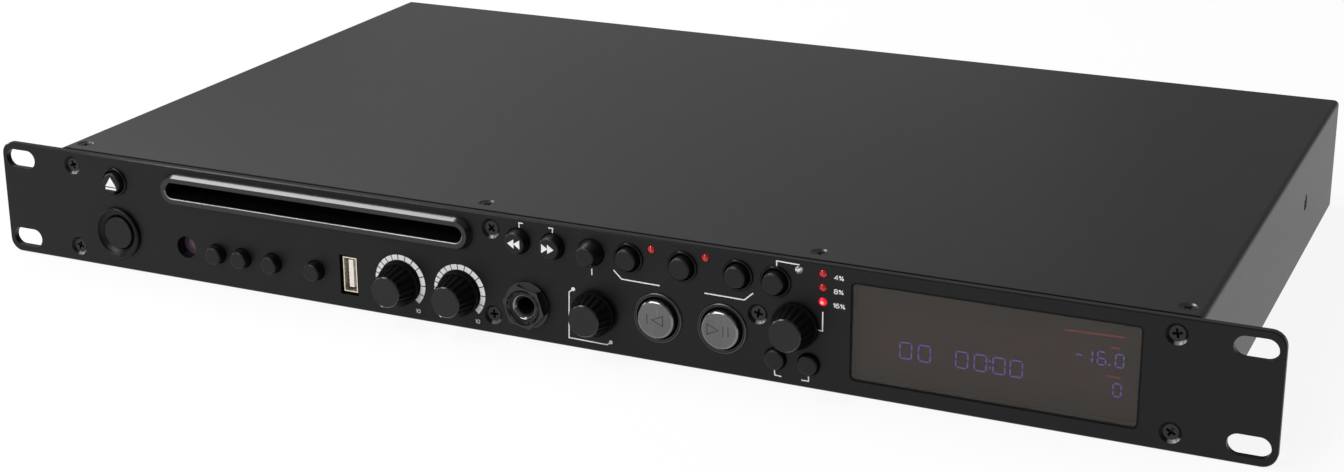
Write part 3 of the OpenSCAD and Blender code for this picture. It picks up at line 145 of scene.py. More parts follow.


# Materials: each varies in colour, and all but the glowing segments also in roughness, with their own fine
# relief

class Graph:
    """A short way to add and join shader nodes."""

    def __init__(self, name):
        self.material = bpy.data.materials.new(name)
        self.material.use_nodes = True
        self.tree = self.material.node_tree
        self.shader = self.tree.nodes["Principled BSDF"]
        self.place = self.add("ShaderNodeTexCoord").outputs["Object"]
        self.axes = None

    def add(self, kind, **settings):
        node = self.tree.nodes.new(kind)
        for key, value in settings.items():
            setattr(node, key, value)
        return node

    def join(self, output, target):
        self.tree.links.new(output, target)

    def feed(self, value, socket):
        """Gives a socket a number, a colour or another node's output."""
        if isinstance(value, tuple):
            socket.default_value = (*value, 1)
        elif isinstance(value, (int, float)):
            socket.default_value = value
        else:
            self.join(value, socket)

    def noise(self, scale, detail=3.0, stretch=None):
        node = self.add("ShaderNodeTexNoise")
        node.inputs["Scale"].default_value = scale
        node.inputs["Detail"].default_value = detail
        place = self.place
        if stretch:
            mapping = self.add("ShaderNodeMapping")
            mapping.inputs["Scale"].default_value = stretch
            self.join(place, mapping.inputs["Vector"])
            place = mapping.outputs["Vector"]
        self.join(place, node.inputs["Vector"])
        return node.outputs["Fac"]

    def spread(self, value, from_low, from_high, to_low, to_high, kind="LINEAR"):
        node = self.add("ShaderNodeMapRange", interpolation_type=kind)
        numbers = (from_low, from_high, to_low, to_high)
        for name, number in zip(("From Min", "From Max", "To Min", "To Max"), numbers):
            node.inputs[name].default_value = number
        self.join(value, node.inputs["Value"])
        return node.outputs["Result"]

    def math(self, operation, first, second):
        node = self.add("ShaderNodeMath", operation=operation)
        self.feed(first, node.inputs[0])
        self.feed(second, node.inputs[1])
        return node.outputs[0]

    def inside(self, box, soft=(0, 0, 0)):
        """One inside a box, given by its corners, and zero outside; soft blurs it along each axis."""
        if self.axes is None:
            split = self.add("ShaderNodeSeparateXYZ")
            self.join(self.place, split.inputs[0])
            self.axes = split.outputs
        share = 1.0
        for axis, start, end, blur in zip(self.axes, *box, soft):
            if blur:
                rise = self.spread(axis, start - blur, start + blur, 0, 1, "SMOOTHSTEP")
                fall = self.spread(axis, end - blur, end + blur, 1, 0, "SMOOTHSTEP")
            else:
                rise = self.math("GREATER_THAN", axis, start)
                fall = self.math("LESS_THAN", axis, end)
            share = self.math("MULTIPLY", share, self.math("MULTIPLY", rise, fall))
        return share

    def any_of(self, boxes, *soft):
        share = 0.0
        for box in boxes:
            share = self.math("MAXIMUM", share, self.inside(box, *soft))
        return share

    def blend(self, factor, first, second):
        node = self.add("ShaderNodeMix", data_type="RGBA")
        self.feed(factor, node.inputs["Factor"])
        for name, colour in (("A", first), ("B", second)):
            self.feed(colour, next(s for s in node.inputs if s.name == name and s.type == "RGBA"))
        return next(s for s in node.outputs if s.type == "RGBA")

    def between(self, factor, first, second):
        """A number that goes from the first to the second with the factor."""
        node = self.add("ShaderNodeMix", data_type="FLOAT")
        self.feed(factor, node.inputs["Factor"])
        self.feed(first, node.inputs[2])
        self.feed(second, node.inputs[3])
        return node.outputs[0]

    def axis_distance(self, at):
        """Distance in metres from an axis that runs from front to back through a point."""
        offset = self.add("ShaderNodeVectorMath", operation="SUBTRACT")
        self.join(self.place, offset.inputs[0])
        offset.inputs[1].default_value = at
        flat = self.add("ShaderNodeVectorMath", operation="MULTIPLY")
        self.join(offset.outputs[0], flat.inputs[0])
        flat.inputs[1].default_value = (1, 0, 1)
        length = self.add("ShaderNodeVectorMath", operation="LENGTH")
        self.join(flat.outputs[0], length.inputs[0])
        return length.outputs["Value"]

    def bump(self, height, strength, distance):
        node = self.add("ShaderNodeBump")
        node.inputs["Strength"].default_value = strength
        node.inputs["Distance"].default_value = distance
        self.join(height, node.inputs["Height"])
        self.join(node.outputs["Normal"], self.shader.inputs["Normal"])

    def set(self, **values):
        for name, value in values.items():
            self.shader.inputs[name.replace("_", " ")].default_value = value


def shade(colour, factor):
    return tuple(min(1.0, c * factor) for c in colour)


def surface(name, colour, roughness, metallic=0.0, vary=0.12, grain=2600, relief=0.15, depth=0.00002,
            stretch=None, patch=45, others=(), specular=0.5, **extra):
    """A finish with cloudy colour, uneven roughness and a fine grain.

    Each other finish is (boxes, colour, roughness, metallic, specular) and fills those boxes. A sixth
    value, where given, blurs their borders along each axis.
    """
    g = Graph(name)
    cloud = g.spread(g.noise(patch, 4), 0.3, 0.7, 0, 1)
    fine = g.noise(grain, 3, stretch)

    def clouded(base):
        tone = g.blend(cloud, shade(base, 1 - vary), shade(base, 1 + vary))
        return g.blend(g.spread(fine, 0.35, 0.65, 0, 0.35), tone, shade(base, 1 - 2 * vary))

    tone = clouded(colour)
    rough = g.spread(fine, 0.3, 0.7, roughness - 0.05, roughness + 0.05)
    g.set(**extra)
    for boxes, other, other_rough, other_metallic, other_specular, *soft in others:
        share = g.any_of(boxes, *soft)
        tone = g.blend(share, tone, clouded(other))
        rough = g.between(share, rough, other_rough)
        metallic = g.between(share, metallic, other_metallic)
        specular = g.between(share, specular, other_specular)
    g.join(tone, g.shader.inputs["Base Color"])
    g.join(rough, g.shader.inputs["Roughness"])
    g.feed(metallic, g.shader.inputs["Metallic"])
    g.feed(specular, g.shader.inputs["Specular IOR Level"])
    g.bump(fine, relief, depth)
    return g.material


# Boxes in which a node has another finish

PIN_REACH = 6.62 * MM
PIN_ROOT = 13.9 * MM
BLADE_REACH = Vector((11, 0, 7)) * MM
BLADE_ROOT = 16.8 * MM
PHONO_BASE = 1.62 * MM
FAR = 1.0


def pin_boxes():
    """Room round the contact pins of each balanced socket."""
    boxes = []
    for start, end in solids_of("balanced_sockets"):
        at = (start + end) / 2
        if end.x - start.x > 3 * PIN_REACH:
            reach = Vector((PIN_REACH, 0, PIN_REACH))
            near, far = at - reach, at + reach
            near.y, far.y = REAR_Y - PIN_ROOT, REAR_Y
            boxes.append((near, far))
    return boxes


def blade_boxes():
    at = middle("mains_inlet")
    near, far = at - BLADE_REACH, at + BLADE_REACH
    near.y, far.y = high("mains_inlet").y - BLADE_ROOT, high("mains_inlet").y
    return [(near, far)]


def sleeve_boxes():
    return [(Vector((-FAR, REAR_Y + PHONO_BASE, -FAR)), Vector((FAR, FAR, FAR)))]


SILVER_CAPS = ("cue_button", "play_button")
KNOBS = ("master_knob", "mic_knob", "pitch_knob", "select_knob")
KNOB_EDGE = 0.5 * MM
HEM = 1.0 * MM
PANEL_SKIN = 0.02 * MM
SINK_R = 3.6 * MM
# Reach of the painted highlight on the lower wall of each panel countersink
SINK_HIGHLIGHT_LEFT, SINK_HIGHLIGHT_DROP = 0.6 * MM, 1.7 * MM
SINK_BLUR = (0.6 * MM, 0, 0.6 * MM)
EDGE_DROP = 1.0 * MM
CAP_EDGE = 0.85 * MM
COVER_SINK_R = 3.15 * MM
TONGUE_LEFT, TONGUE_RIGHT, TONGUE_HALF_H = -1.25, 0.65, 5.2
TONGUE_BACK = 1.2
TONGUE_MARGIN = 0.1
ROUND_TOLERANCE = 0.1 * MM


def faces_front(box):
    """Whether a screw's box is that of one driven in from the front."""
    reach = box[1] - box[0]
    return abs(reach.x - reach.z) < ROUND_TOLERANCE


def faces_up(box):
    reach = box[1] - box[0]
    return abs(reach.x - reach.y) < ROUND_TOLERANCE


def panel_edge_boxes():
    """The upper edge of the panel, which is smoother than its face."""
    corner = Vector((-FAR, PANEL_Y + PANEL_SKIN, high("front_panel").z - EDGE_DROP))
    return [(corner, Vector((FAR, FAR, FAR)))]


def panel_sink_boxes(lower=False):
    """Countersinks of the panel's screws, whole or only their lower part: the whole ones are painted darker
    as painted shade, the lower parts bright as a painted highlight.
    """
    boxes = []
    for start, end in filter(faces_front, solids_of("case_screws")):
        at, reach = (start + end) / 2, Vector((SINK_R, 0, SINK_R))
        near, far = at - reach, at + reach
        near.y, far.y = PANEL_Y + PANEL_SKIN, 0
        if lower:
            near.x = at.x - SINK_HIGHLIGHT_LEFT
            far.z = at.z - SINK_HIGHLIGHT_DROP
        boxes.append((near, far))
    return boxes


def cover_sink_glint_boxes():
    """Countersinks of the cover's screws, painted as bright metal for painted glints."""
    boxes = []
    for start, end in filter(faces_up, solids_of("case_screws")):
        at, reach = (start + end) / 2, Vector((COVER_SINK_R, COVER_SINK_R, 0))
        near, far = at - reach, at + reach
        near.z, far.z = start.z, TOP_Z - PANEL_SKIN
        boxes.append((near, far))
    return boxes


def ring_boxes(*caps):
    """Rings round the given caps."""
    places = [middle(node) for node in caps]
    rings = solids_of("button_rings")
    return [b for b in rings for at in places if b[0].x < at.x < b[1].x and b[0].z < at.z < b[1].z]


def knob_edge_boxes():
    """The chamfer round each knob's front."""
    boxes = []
    for node in KNOBS:
        near, far = low(node), high(node)
        near.y, far.y = near.y + PANEL_SKIN, near.y + KNOB_EDGE
        boxes.append((near, far))
    return boxes


# Walls of each knob behind its front chamfer, painted darker and duller than the front as painted shade
def knob_wall_shade_boxes():
    boxes = []
    for node in KNOBS:
        near, far = low(node), high(node)
        near.y += KNOB_EDGE
        boxes.append((near, far))
    return boxes


def cover_hem_shade_boxes():
    """The cover's front edge, which lies in the shadow behind the panel and is painted near black there as
    painted shadow.
    """
    near, far = low("top_cover"), high("top_cover")
    far.y = near.y + HEM
    return [(near - Vector((MM, MM, MM)), far + Vector((MM, 0, MM)))]


def cap_edge_highlight_boxes():
    """The rounded front edge of each silver cap, painted brighter as a painted highlight."""
    boxes = []
    for node in SILVER_CAPS:
        near, far = low(node), high(node)
        near.y, far.y = near.y + PANEL_SKIN, near.y + CAP_EDGE
        boxes.append((near, far))
    return boxes


def cap_wall_shade_boxes():
    """Everything of the silver caps behind their rounded front edge, painted black as painted shade."""
    return [(Vector((-FAR, low(SILVER_CAPS[0]).y + CAP_EDGE, -FAR)), Vector((FAR, FAR, FAR)))]


def tongue_boxes():
    """Room round the tongue of the memory stick port."""
    at = middle("stick_port")
    front = low("stick_port").y + (TONGUE_BACK - TONGUE_MARGIN) * MM
    half = (TONGUE_HALF_H + TONGUE_MARGIN) * MM
    left = at.x + (TONGUE_LEFT - TONGUE_MARGIN) * MM
    right = at.x + (TONGUE_RIGHT + TONGUE_MARGIN) * MM
    return [(Vector((left, front, at.z - half)), Vector((right, FAR, at.z + half)))]


MATERIALS = {
    "panel": surface("panel_brushed_black", (0.005, 0.005, 0.0052), 0.43, vary=0.12, grain=3000,
                     stretch=(0.04, 1, 1), specular=0.23,
                     others=[(panel_edge_boxes(), (0.005, 0.005, 0.0052), 0.17, 0, 0.4),
                             # Countersinks painted darker and less glossy than the panel, as painted shade
                             (panel_sink_boxes(), (0.003, 0.003, 0.003), 0.4, 0, 0.15),
                             # Lower walls of the countersinks painted bright and metallic, as a painted
                             # highlight
                             (panel_sink_boxes(lower=True), (0.25, 0.25, 0.25), 0.3, 0.6, 0.5, SINK_BLUR)]),
    "cover": surface("cover_powder_black", (0.009, 0.009, 0.0093), 0.42, vary=0.12, grain=3600, relief=0.2,
                     # Cover countersinks painted as bright metal, as painted glints
                     specular=0.42, others=[(cover_sink_glint_boxes(), (0.09, 0.09, 0.09), 0.28, 0.9, 0.5),
                                            # Front hem painted near black, as the painted shadow of the gap
                                            # behind the panel
                                            (cover_hem_shade_boxes(), (0.002, 0.002, 0.002), 0.8, 0, 0.05)]),
    "tray": surface("zinc_sheet", (0.36, 0.37, 0.39), 0.38, metallic=1.0, grain=300, patch=30, vary=0.10),
    "bezel": surface("bezel_black", (0.006, 0.006, 0.0063), 0.20, vary=0.10, grain=5200, relief=0.05),
    # Bright metal of the slot's round lip, as a painted highlight along its lower edge
    "lip": surface("lip_painted_highlight", (0.30, 0.30, 0.305), 0.35, metallic=0.9, vary=0.08, grain=5200,
                   relief=0.05),
    "ring": surface("ring_black", (0.003, 0.003, 0.003), 0.2, grain=4000, relief=0.05, specular=0.17,
                    others=[(ring_boxes(*SILVER_CAPS), (0.07, 0.07, 0.072), 0.3, 0.9, 0.5),
                            (ring_boxes("power_button"), (0.003, 0.003, 0.003), 0.36, 0, 0.19)]),
    "button": surface("button_black", (0.004, 0.004, 0.0042), 0.40, grain=6000, relief=0.2, specular=0.28),
    "knob": surface("knob_black", (0.012, 0.012, 0.0123), 0.46, grain=6000, relief=0.2, specular=0.27,
                    others=[(knob_edge_boxes(), (0.012, 0.012, 0.0123), 0.28, 0, 0.38),
                            # Knob walls painted darker and less glossy, as painted shade
                            (knob_wall_shade_boxes(), (0.004, 0.004, 0.0042), 0.5, 0, 0.07)]),
    "cue": surface("cue_silver", (0.14, 0.14, 0.143), 0.30, metallic=0.9, grain=2500, vary=0.12,
                   stretch=(1, 1, 0.05), depth=0.00001,
                   # Cap edges painted as brighter metal, as a painted highlight
                   others=[(cap_edge_highlight_boxes(), (0.21, 0.21, 0.212), 0.2, 1, 0.5),
                           # Cap walls painted black, as painted shade
                           (cap_wall_shade_boxes(), (0.003, 0.003, 0.003), 0.5, 0, 0.3)]),
    "nut": surface("nut_black", (0.005, 0.005, 0.005), 0.2, grain=4000, relief=0.05, specular=0.5),
    "moulding": surface("black_moulding", (0.006, 0.006, 0.006), 0.5, grain=4000),
    "balanced": surface("balanced_black", (0.006, 0.006, 0.006), 0.5, grain=4000,
                        others=[(pin_boxes(), (0.72, 0.70, 0.66), 0.25, 1, 0.5)]),
    "inlet": surface("inlet_black", (0.006, 0.006, 0.006), 0.5, grain=4000,
                     others=[(blade_boxes(), (0.70, 0.68, 0.62), 0.28, 1, 0.5)]),
    "phono": surface("phono_black", (0.006, 0.006, 0.006), 0.45, grain=4000,
                     others=[(sleeve_boxes(), (0.78, 0.58, 0.24), 0.22, 1, 0.5)]),
    "shell": surface("plated_shell", (0.80, 0.74, 0.62), 0.30, metallic=0.9, grain=900, vary=0.06,
                     others=[(tongue_boxes(), (0.88, 0.82, 0.77), 0.4, 0, 0.5)]),
    "screw": surface("black_oxide", (0.034, 0.034, 0.035), 0.36, metallic=0.8, grain=5000),
    "steel": surface("bright_steel", (0.62, 0.62, 0.64), 0.22, metallic=1.0, grain=800, stretch=(1, 0.05, 1)),
    "brass": surface("turned_brass", (0.66, 0.47, 0.18), 0.25, metallic=1.0, grain=900, stretch=(1, 12, 1)),
    "white": surface("natural_moulding", (0.72, 0.71, 0.67), 0.45, vary=0.05, grain=1500),
    "rubber": surface("soft_rubber", (0.006, 0.006, 0.006), 0.75, grain=2500, relief=0.3),
    "cast": surface("die_cast", (0.30, 0.30, 0.32), 0.5, metallic=0.8, grain=1600, relief=0.3),
    "pot": surface("plated_pot", (0.42, 0.42, 0.44), 0.35, metallic=1.0, grain=900),
    "board": surface("solder_mask", (0.012, 0.075, 0.030), 0.35, grain=700, vary=0.2),
    "ink": surface("white_ink", (0.80, 0.80, 0.80), 0.55, vary=0.03, grain=9000, relief=0.1),
    # Dark strokes on the silver caps, as the painted shade of engraved grooves
    "engraved_shade": surface("engraved_groove_shade", (0.012, 0.012, 0.012), 0.6, vary=0.1, grain=9000, relief=0.1),
    "contact": surface("contact_gold", (0.75, 0.62, 0.36), 0.3, metallic=1.0, vary=0.06, grain=2000),
    "sleeve": surface("dark_sleeve", (0.20, 0.20, 0.202), 0.16, metallic=0.9, grain=2000, relief=0.03),
    # Black ring filling the gap round the display window, as painted shade
    "gap_shade": surface("gap_shade_black", (0.003, 0.003, 0.003), 0.7, grain=3000, relief=0.2, specular=0.2),
    "window": surface("smoked_acrylic", (0.060, 0.051, 0.042), 0.25, vary=0.05, grain=900, relief=0.02,
                      Alpha=0.55),
}


FIELD_MARGIN = Vector((9, 0, 9)) * MM
FIELD_BLUR = (4 * MM, 4 * MM, 4 * MM)


def display_material():
    """Dark glass of the display, with a reddish field where its grid is."""
    g = Graph("display_dark")
    start, end = low("display_module"), high("display_module")
    field = g.inside((start + FIELD_MARGIN, end - FIELD_MARGIN), FIELD_BLUR)
    fine = g.noise(2200, 3)
    dark = g.blend(fine, (0.028, 0.024, 0.018), (0.036, 0.031, 0.024))
    red = g.blend(fine, (0.15, 0.028, 0.055), (0.19, 0.036, 0.068))
    g.join(g.blend(field, dark, red), g.shader.inputs["Base Color"])
    g.join(g.spread(fine, 0.3, 0.7, 0.35, 0.5), g.shader.inputs["Roughness"])
    g.bump(fine, 0.05, 0.00002)
    return g.material


def segment_material(name, colour, strength):
    """Glowing segments with the fine mesh of the display's grid over them."""
    g = Graph(name)
    grid = g.noise(6000, 2)
    g.join(g.blend(grid, shade(colour, 0.6), colour), g.shader.inputs["Emission Color"])
    g.join(g.blend(grid, shade(colour, 0.10), shade(colour, 0.14)), g.shader.inputs["Base Color"])
    g.set(Roughness=0.6, Emission_Strength=strength)
    return g.material


LENS_MARGIN = Vector((1, 1, 1)) * MM
LIT_CORE = 0.6


def red_lens_material():
    """Red lamp lenses, of which the one at the lower right is lit."""
    g = Graph("red_lens")
    lamps = solids_of("red_lamps")
    column = max(box[0].x for box in lamps)
    lit = min((box for box in lamps if box[0].x > column - MM), key=lambda b: b[0].z)
    fine = g.noise(2500, 2)
    g.join(g.blend(fine, (0.36, 0.006, 0.010), (0.46, 0.008, 0.014)), g.shader.inputs["Base Color"])
    g.join(g.spread(fine, 0.3, 0.7, 0.05, 0.10), g.shader.inputs["Roughness"])
    glow = g.inside((lit[0] - LENS_MARGIN, lit[1] + LENS_MARGIN))
    middle_of_lit, radius = (lit[0] + lit[1]) / 2, (lit[1].x - lit[0].x) / 2
    far = g.spread(g.axis_distance(middle_of_lit), 0, LIT_CORE * radius, 0, 1, "SMOOTHSTEP")
    g.join(g.blend(far, (1.0, 0.55, 0.48), (0.62, 0.005, 0.030)), g.shader.inputs["Emission Color"])
    g.join(glow, g.shader.inputs["Emission Strength"])
    g.set(Specular_IOR_Level=0.7)
    g.bump(fine, 0.05, 0.00002)
    return g.material


def clear_lens_material():
    """Clear lamp lens, through which its lead frame shows as dark and bright patches."""
    g = Graph("clear_lens")
    inner = g.spread(g.noise(900, 2), 0.42, 0.58, 0, 1)
    g.join(g.blend(inner, (0.10, 0.10, 0.11), (0.75, 0.76, 0.78)), g.shader.inputs["Base Color"])
    g.join(g.spread(inner, 0, 1, 0.06, 0.12), g.shader.inputs["Roughness"])
    g.set(Specular_IOR_Level=0.7)
    g.bump(g.noise(3000, 2), 0.05, 0.00002)
    return g.material


IR_TUBE_WALL = 0.8 * MM
IR_LENS_SHARE = 0.98


def infrared_material():
    """Dark violet receiver lens in a black tube."""
    g = Graph("infrared_lens")
    at = middle("ir_window")
    radius = high("ir_window").x - at.x - IR_TUBE_WALL
    tube = g.math("GREATER_THAN", g.axis_distance(at), IR_LENS_SHARE * radius)
    fine = g.noise(3000, 3)
    lens = g.blend(fine, (0.062, 0.034, 0.054), (0.080, 0.045, 0.070))
    g.join(g.blend(tube, lens, (0.004, 0.004, 0.004)), g.shader.inputs["Base Color"])
    g.join(g.spread(fine, 0.3, 0.7, 0.2, 0.3), g.shader.inputs["Roughness"])
    g.bump(fine, 0.05, 0.00002)
    return g.material


MATERIALS["module"] = display_material()
MATERIALS["segments"] = segment_material("segments_violet", (0.20, 0.15, 0.62), 1.0)
MATERIALS["marks"] = segment_material("segments_red", (0.60, 0.08, 0.07), 0.35)
MATERIALS["red_lens"] = red_lens_material()
MATERIALS["clear_lens"] = clear_lens_material()
MATERIALS["infrared"] = infrared_material()

NODE_MATERIALS = {
    "panel": ["front_panel"],
    "cover": ["top_cover", "rear_wall", "front_wall"],
    "tray": ["chassis_tray", "drive_frame", "roller_arm", "clamp_arm"],
    "bezel": ["slot_bezel"],
    "ring": ["button_rings"],
    "screw": ["case_screws"],
    "window": ["display_window"],
    "module": ["display_module"],
    "infrared": ["ir_window"],
    "shell": ["stick_port"],
    "moulding": ["mic_jack", "turntable", "disc_guide"],
    "inlet": ["mains_inlet"],
    "balanced": ["balanced_sockets"],
    "phono": ["phono_sockets"],
    "nut": ["jack_nut"],
    "pot": ["level_pots", "select_encoder", "drive_motors"],
    "red_lens": ["red_lamps"],
    "clear_lens": ["clear_lamp"],
    "board": ["control_board", "main_board", "power_supply"],
    "white": ["loading_gear", "clamp_puck", "select_plunger"],
    "rubber": ["drive_dampers", "loading_roller"],
    "steel": ["guide_rods", "lead_screw"],
    "brass": ["loading_worm"],
    "cast": ["pickup_sled"],
    "cue": list(SILVER_CAPS),
    "knob": list(KNOBS),
}
BUTTONS = [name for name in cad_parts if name.endswith("_button")]


def dress_nodes():
    wanted = {node: key for key, nodes in NODE_MATERIALS.items() for node in nodes}
    for name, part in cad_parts.items():
        key = wanted.get(name, "button" if name in BUTTONS else None)
        part.data.materials.clear()
        part.data.materials.append(MATERIALS[key])


# Closed shapes, drawn in millimetres at a place and gathered into one mesh

SMOOTH_ANGLE = math.radians(35)
MITRE_LIMIT = 0.5


class Solid:
    def __init__(self):
        self.points = []
        self.faces = []

    def loft(self, place, rings, closed=False):
        """Skins rings of equal count; both ends get a cap unless the last ring joins the first."""
        start, count = len(self.points), len(rings[0])
        for ring in rings:
            self.points.extend(place @ Vector(point) for point in ring)
        spans = len(rings) if closed else len(rings) - 1
        for i in range(spans):
            this, other = start + i * count, start + (i + 1) % len(rings) * count
            for k in range(count):
                n = (k + 1) % count
                self.faces.append((this + k, this + n, other + n, other + k))
        if not closed:
            self.faces.append(tuple(range(start, start + count)))
            self.faces.append(tuple(range(start + spans * count, start + (spans + 1) * count)))

    def prism(self, place, outline, bottom, top):
        self.loft(place, [[(x, y, z) for x, y in outline] for z in (bottom, top)])

    def stroke(self, place, path, width, bottom, top, closed=False):
        """A line of even width with mitred corners."""
        rings = []
        for i, point in enumerate(path):
            here = Vector(point)
            before = Vector(path[i - 1]) if i or closed else None
            after = Vector(path[(i + 1) % len(path)]) if i + 1 < len(path) or closed else None
            ways = [(b - a).normalized() for a, b in ((before, here), (here, after)) if a and b]
            way = sum(ways, Vector((0, 0))).normalized()
            half = width / 2 / max(MITRE_LIMIT, way.dot(ways[0]))
            side = Vector((-way.y, way.x)) * half
            one, two = here + side, here - side
            rings.append([(*one, top), (*two, top), (*two, bottom), (*one, bottom)])
        self.loft(place, rings, closed)

    def turned(self, place, profile, closed=False, steps=48):
        """A profile of (radius, height) turned round the place's Z."""
        angles = [2 * math.pi * i / steps for i in range(steps)]
        self.loft(place, [[polar(r, a, z) for a in angles] for r, z in profile], closed)

    def finish(self, name, material, body=ROOT):
        mesh = bpy.data.meshes.new(name)
        mesh.from_pydata(self.points, [], self.faces)
        shape = bmesh.new()
        shape.from_mesh(mesh)
        bmesh.ops.recalc_face_normals(shape, faces=shape.faces)
        shape.to_mesh(mesh)
        shape.free()
        mesh.shade_smooth()
        mesh.set_sharp_from_angle(angle=SMOOTH_ANGLE)
        mesh.materials.append(MATERIALS[material])
        piece = bpy.data.objects.new(name, mesh)
        bpy.context.collection.objects.link(piece)
        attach(piece, body)
        return piece


def polar(radius, angle, z=None):
    x, y = radius * math.cos(angle), radius * math.sin(angle)
    return (x, y) if z is None else (x, y, z)


# White print on the panel: lines between controls, dial scales and numbers

INK_PROUD = 0.04
INK_SUNK = 0.02
LINE_W = 0.42
DOT_R = 0.72
DOT_PROUD = 1.2 * INK_PROUD
CONTROL_LINES = [
    ("search_back_button", [(0.6, 4.9), (0.5, 6.6), (2.1, 6.6)]),
    ("search_forward_button", [(-1.4, 6.4), (0.2, 6.4), (0.1, 4.8)]),
    ("back_button", [(0.2, -5.8), (0.2, -8.2)]),
    ("select_knob", [(-8.25, 7.23), (-9.85, 5.93), (-10.2, -10.9), (4.4, -11.1), (5.8, -10)]),
    ("loop_in_button", [(-5.6, -5.1), (-2.6, -7.9), (11.5, -8.1)]),
    ("loop_again_button", [(-11.9, -8.2), (2.4, -8.35), (5.5, -5.5)]),
    ("pitch_on_button", [(0.3, 5.3), (0.3, 7.2), (8.2, 7)]),
    ("pitch_knob", [(9.3, 6.2), (9.3, -0.4), (7.6, -0.4)]),
    ("bend_down_button", [(-0.3, -4.15), (-0.2, -5.9), (2.2, -6.1)]),
    ("bend_up_button", [(-2.5, -6.1), (0, -6.1), (0, -4.4)]),
]
DOTTED_LINE = "select_knob"


def add_control_lines():
    ink = Solid()
    for node, path in CONTROL_LINES:
        ink.stroke(on_front(node), path, LINE_W, -INK_SUNK, INK_PROUD)
        if node == DOTTED_LINE:
            for x, y in (path[0], path[-1]):
                place = on_front(node) @ Matrix.Translation((x, y, 0))
                ink.turned(place, [(DOT_R, -INK_SUNK), (DOT_R, DOT_PROUD)], steps=24)
    ink.finish("control_lines", "ink")


# Strokes of the numbers on the panel, in a box one high: closed or open, then points
GLYPHS = {
    "0": [(True, [(0, 0.25), (0.25, 0), (0.55, 0), (0.8, 0.25), (0.8, 0.75), (0.55, 1), (0.25, 1),
                  (0, 0.75)])],
    "1": [(False, [(0.15, 0.75), (0.45, 1), (0.45, 0)])],
    "4": [(False, [(0.6, 0), (0.6, 1), (0, 0.3), (0.85, 0.3)])],
    "6": [(False, [(0.75, 0.9), (0.5, 1), (0.25, 1), (0, 0.75), (0, 0.25), (0.25, 0), (0.55, 0),
                   (0.8, 0.2), (0.8, 0.38), (0.55, 0.58), (0.06, 0.55)])],
    "8": [(True, [(0.22, 0.6), (0.58, 0.6), (0.75, 0.74), (0.75, 0.88), (0.58, 1), (0.22, 1), (0.05, 0.88),
                  (0.05, 0.74)]),
          (True, [(0.2, 0.5), (0.6, 0.5), (0.8, 0.34), (0.8, 0.16), (0.6, 0), (0.2, 0), (0, 0.16),
                  (0, 0.34)])],
    "%": [(True, [(0, 0.72), (0.14, 0.58), (0.28, 0.72), (0.28, 0.86), (0.14, 1), (0, 0.86)]),
          (False, [(0.1, 0), (0.8, 1)]),
          (True, [(0.62, 0.14), (0.76, 0), (0.9, 0.14), (0.9, 0.28), (0.76, 0.42), (0.62, 0.28)])],
}
GLYPH_PITCH = {"1": 0.72}
WIDE_PITCH = 1.12


def add_number(ink, place, text, height, line, wide=1.0):
    along = 0
    for letter in text:
        at = place @ Matrix.Translation((along * wide * height, 0, 0))
        for closed, path in GLYPHS[letter]:
            scaled = [(x * wide * height, y * height) for x, y in path]
            ink.stroke(at, scaled, line, -INK_SUNK, INK_PROUD, closed)
        along += GLYPH_PITCH.get(letter, WIDE_PITCH)


NUMBER_LINE_W = 0.28
SCALE_R = 10.25
SCALE_T = 1.9
SCALE_START = 223.9
SCALE_STEPS = 18
SCALE_STEP_FIRST, SCALE_STEP_LAST = 7.4, 22.5
SCALE_GAP = 2.2
SCALE_ARC_POINTS = 6
SCALE_SHIFT = (0.2, 0.5, 0)
LEVEL_KNOBS = ("master_knob", "mic_knob")
LEVEL_NUMBER_H = 1.25
LEVEL_NUMBERS = (("0", (-8.6, -10.6)), ("10", (5.8, -10.6)))


def add_dial_scales():
    """Segments that grow longer clockwise round each level knob, with numbers at its ends."""
    for node in LEVEL_KNOBS:
        ink = Solid()
        place = on_front(node) @ Matrix.Translation(SCALE_SHIFT)
        inner = SCALE_R - SCALE_T
        done = 0
        for i in range(SCALE_STEPS):
            step = SCALE_STEP_FIRST + (SCALE_STEP_LAST - SCALE_STEP_FIRST) * i / (SCALE_STEPS - 1)
            rings = []
            for k in range(SCALE_ARC_POINTS):
                turn = done + SCALE_GAP / 2 + (step - SCALE_GAP) * k / (SCALE_ARC_POINTS - 1)
                angle = math.radians(SCALE_START - turn)
                corners = ((SCALE_R, INK_PROUD), (inner, INK_PROUD),
                           (inner, -INK_SUNK), (SCALE_R, -INK_SUNK))
                rings.append([polar(r, angle, z) for r, z in corners])
            ink.loft(place, rings)
            done += step
        for text, at in LEVEL_NUMBERS:
            add_number(ink, place @ Matrix.Translation((*at, 0)), text, LEVEL_NUMBER_H, NUMBER_LINE_W)
        ink.finish(f"scale_{node}", "ink")


LAMP_NUMBERS = (("4%", 3.9), ("8%", 3.9), ("16%", 3.4))
LAMP_NUMBER_Z = -1.3
LAMP_NUMBER_H = 1.4
LAMP_NUMBER_WIDE = 1.08


def add_lamp_numbers():
    """Pitch ranges in per cent beside the column of red lamps."""
    ink = Solid()
    lamps = solids_of("red_lamps")
    column = max(box[0].x for box in lamps)
    rows = sorted((box for box in lamps if box[0].x > column - MM), key=lambda b: -b[0].z)
    for (text, x), (start, end) in zip(LAMP_NUMBERS, rows):
        at = (start + end) / 2
        place = facing(FRONT, (at.x, PANEL_Y, at.z)) @ Matrix.Translation((x, LAMP_NUMBER_Z, 0))
        add_number(ink, place, text, LAMP_NUMBER_H, NUMBER_LINE_W, LAMP_NUMBER_WIDE)
    ink.finish("lamp_numbers", "ink")


# Signs on the caps

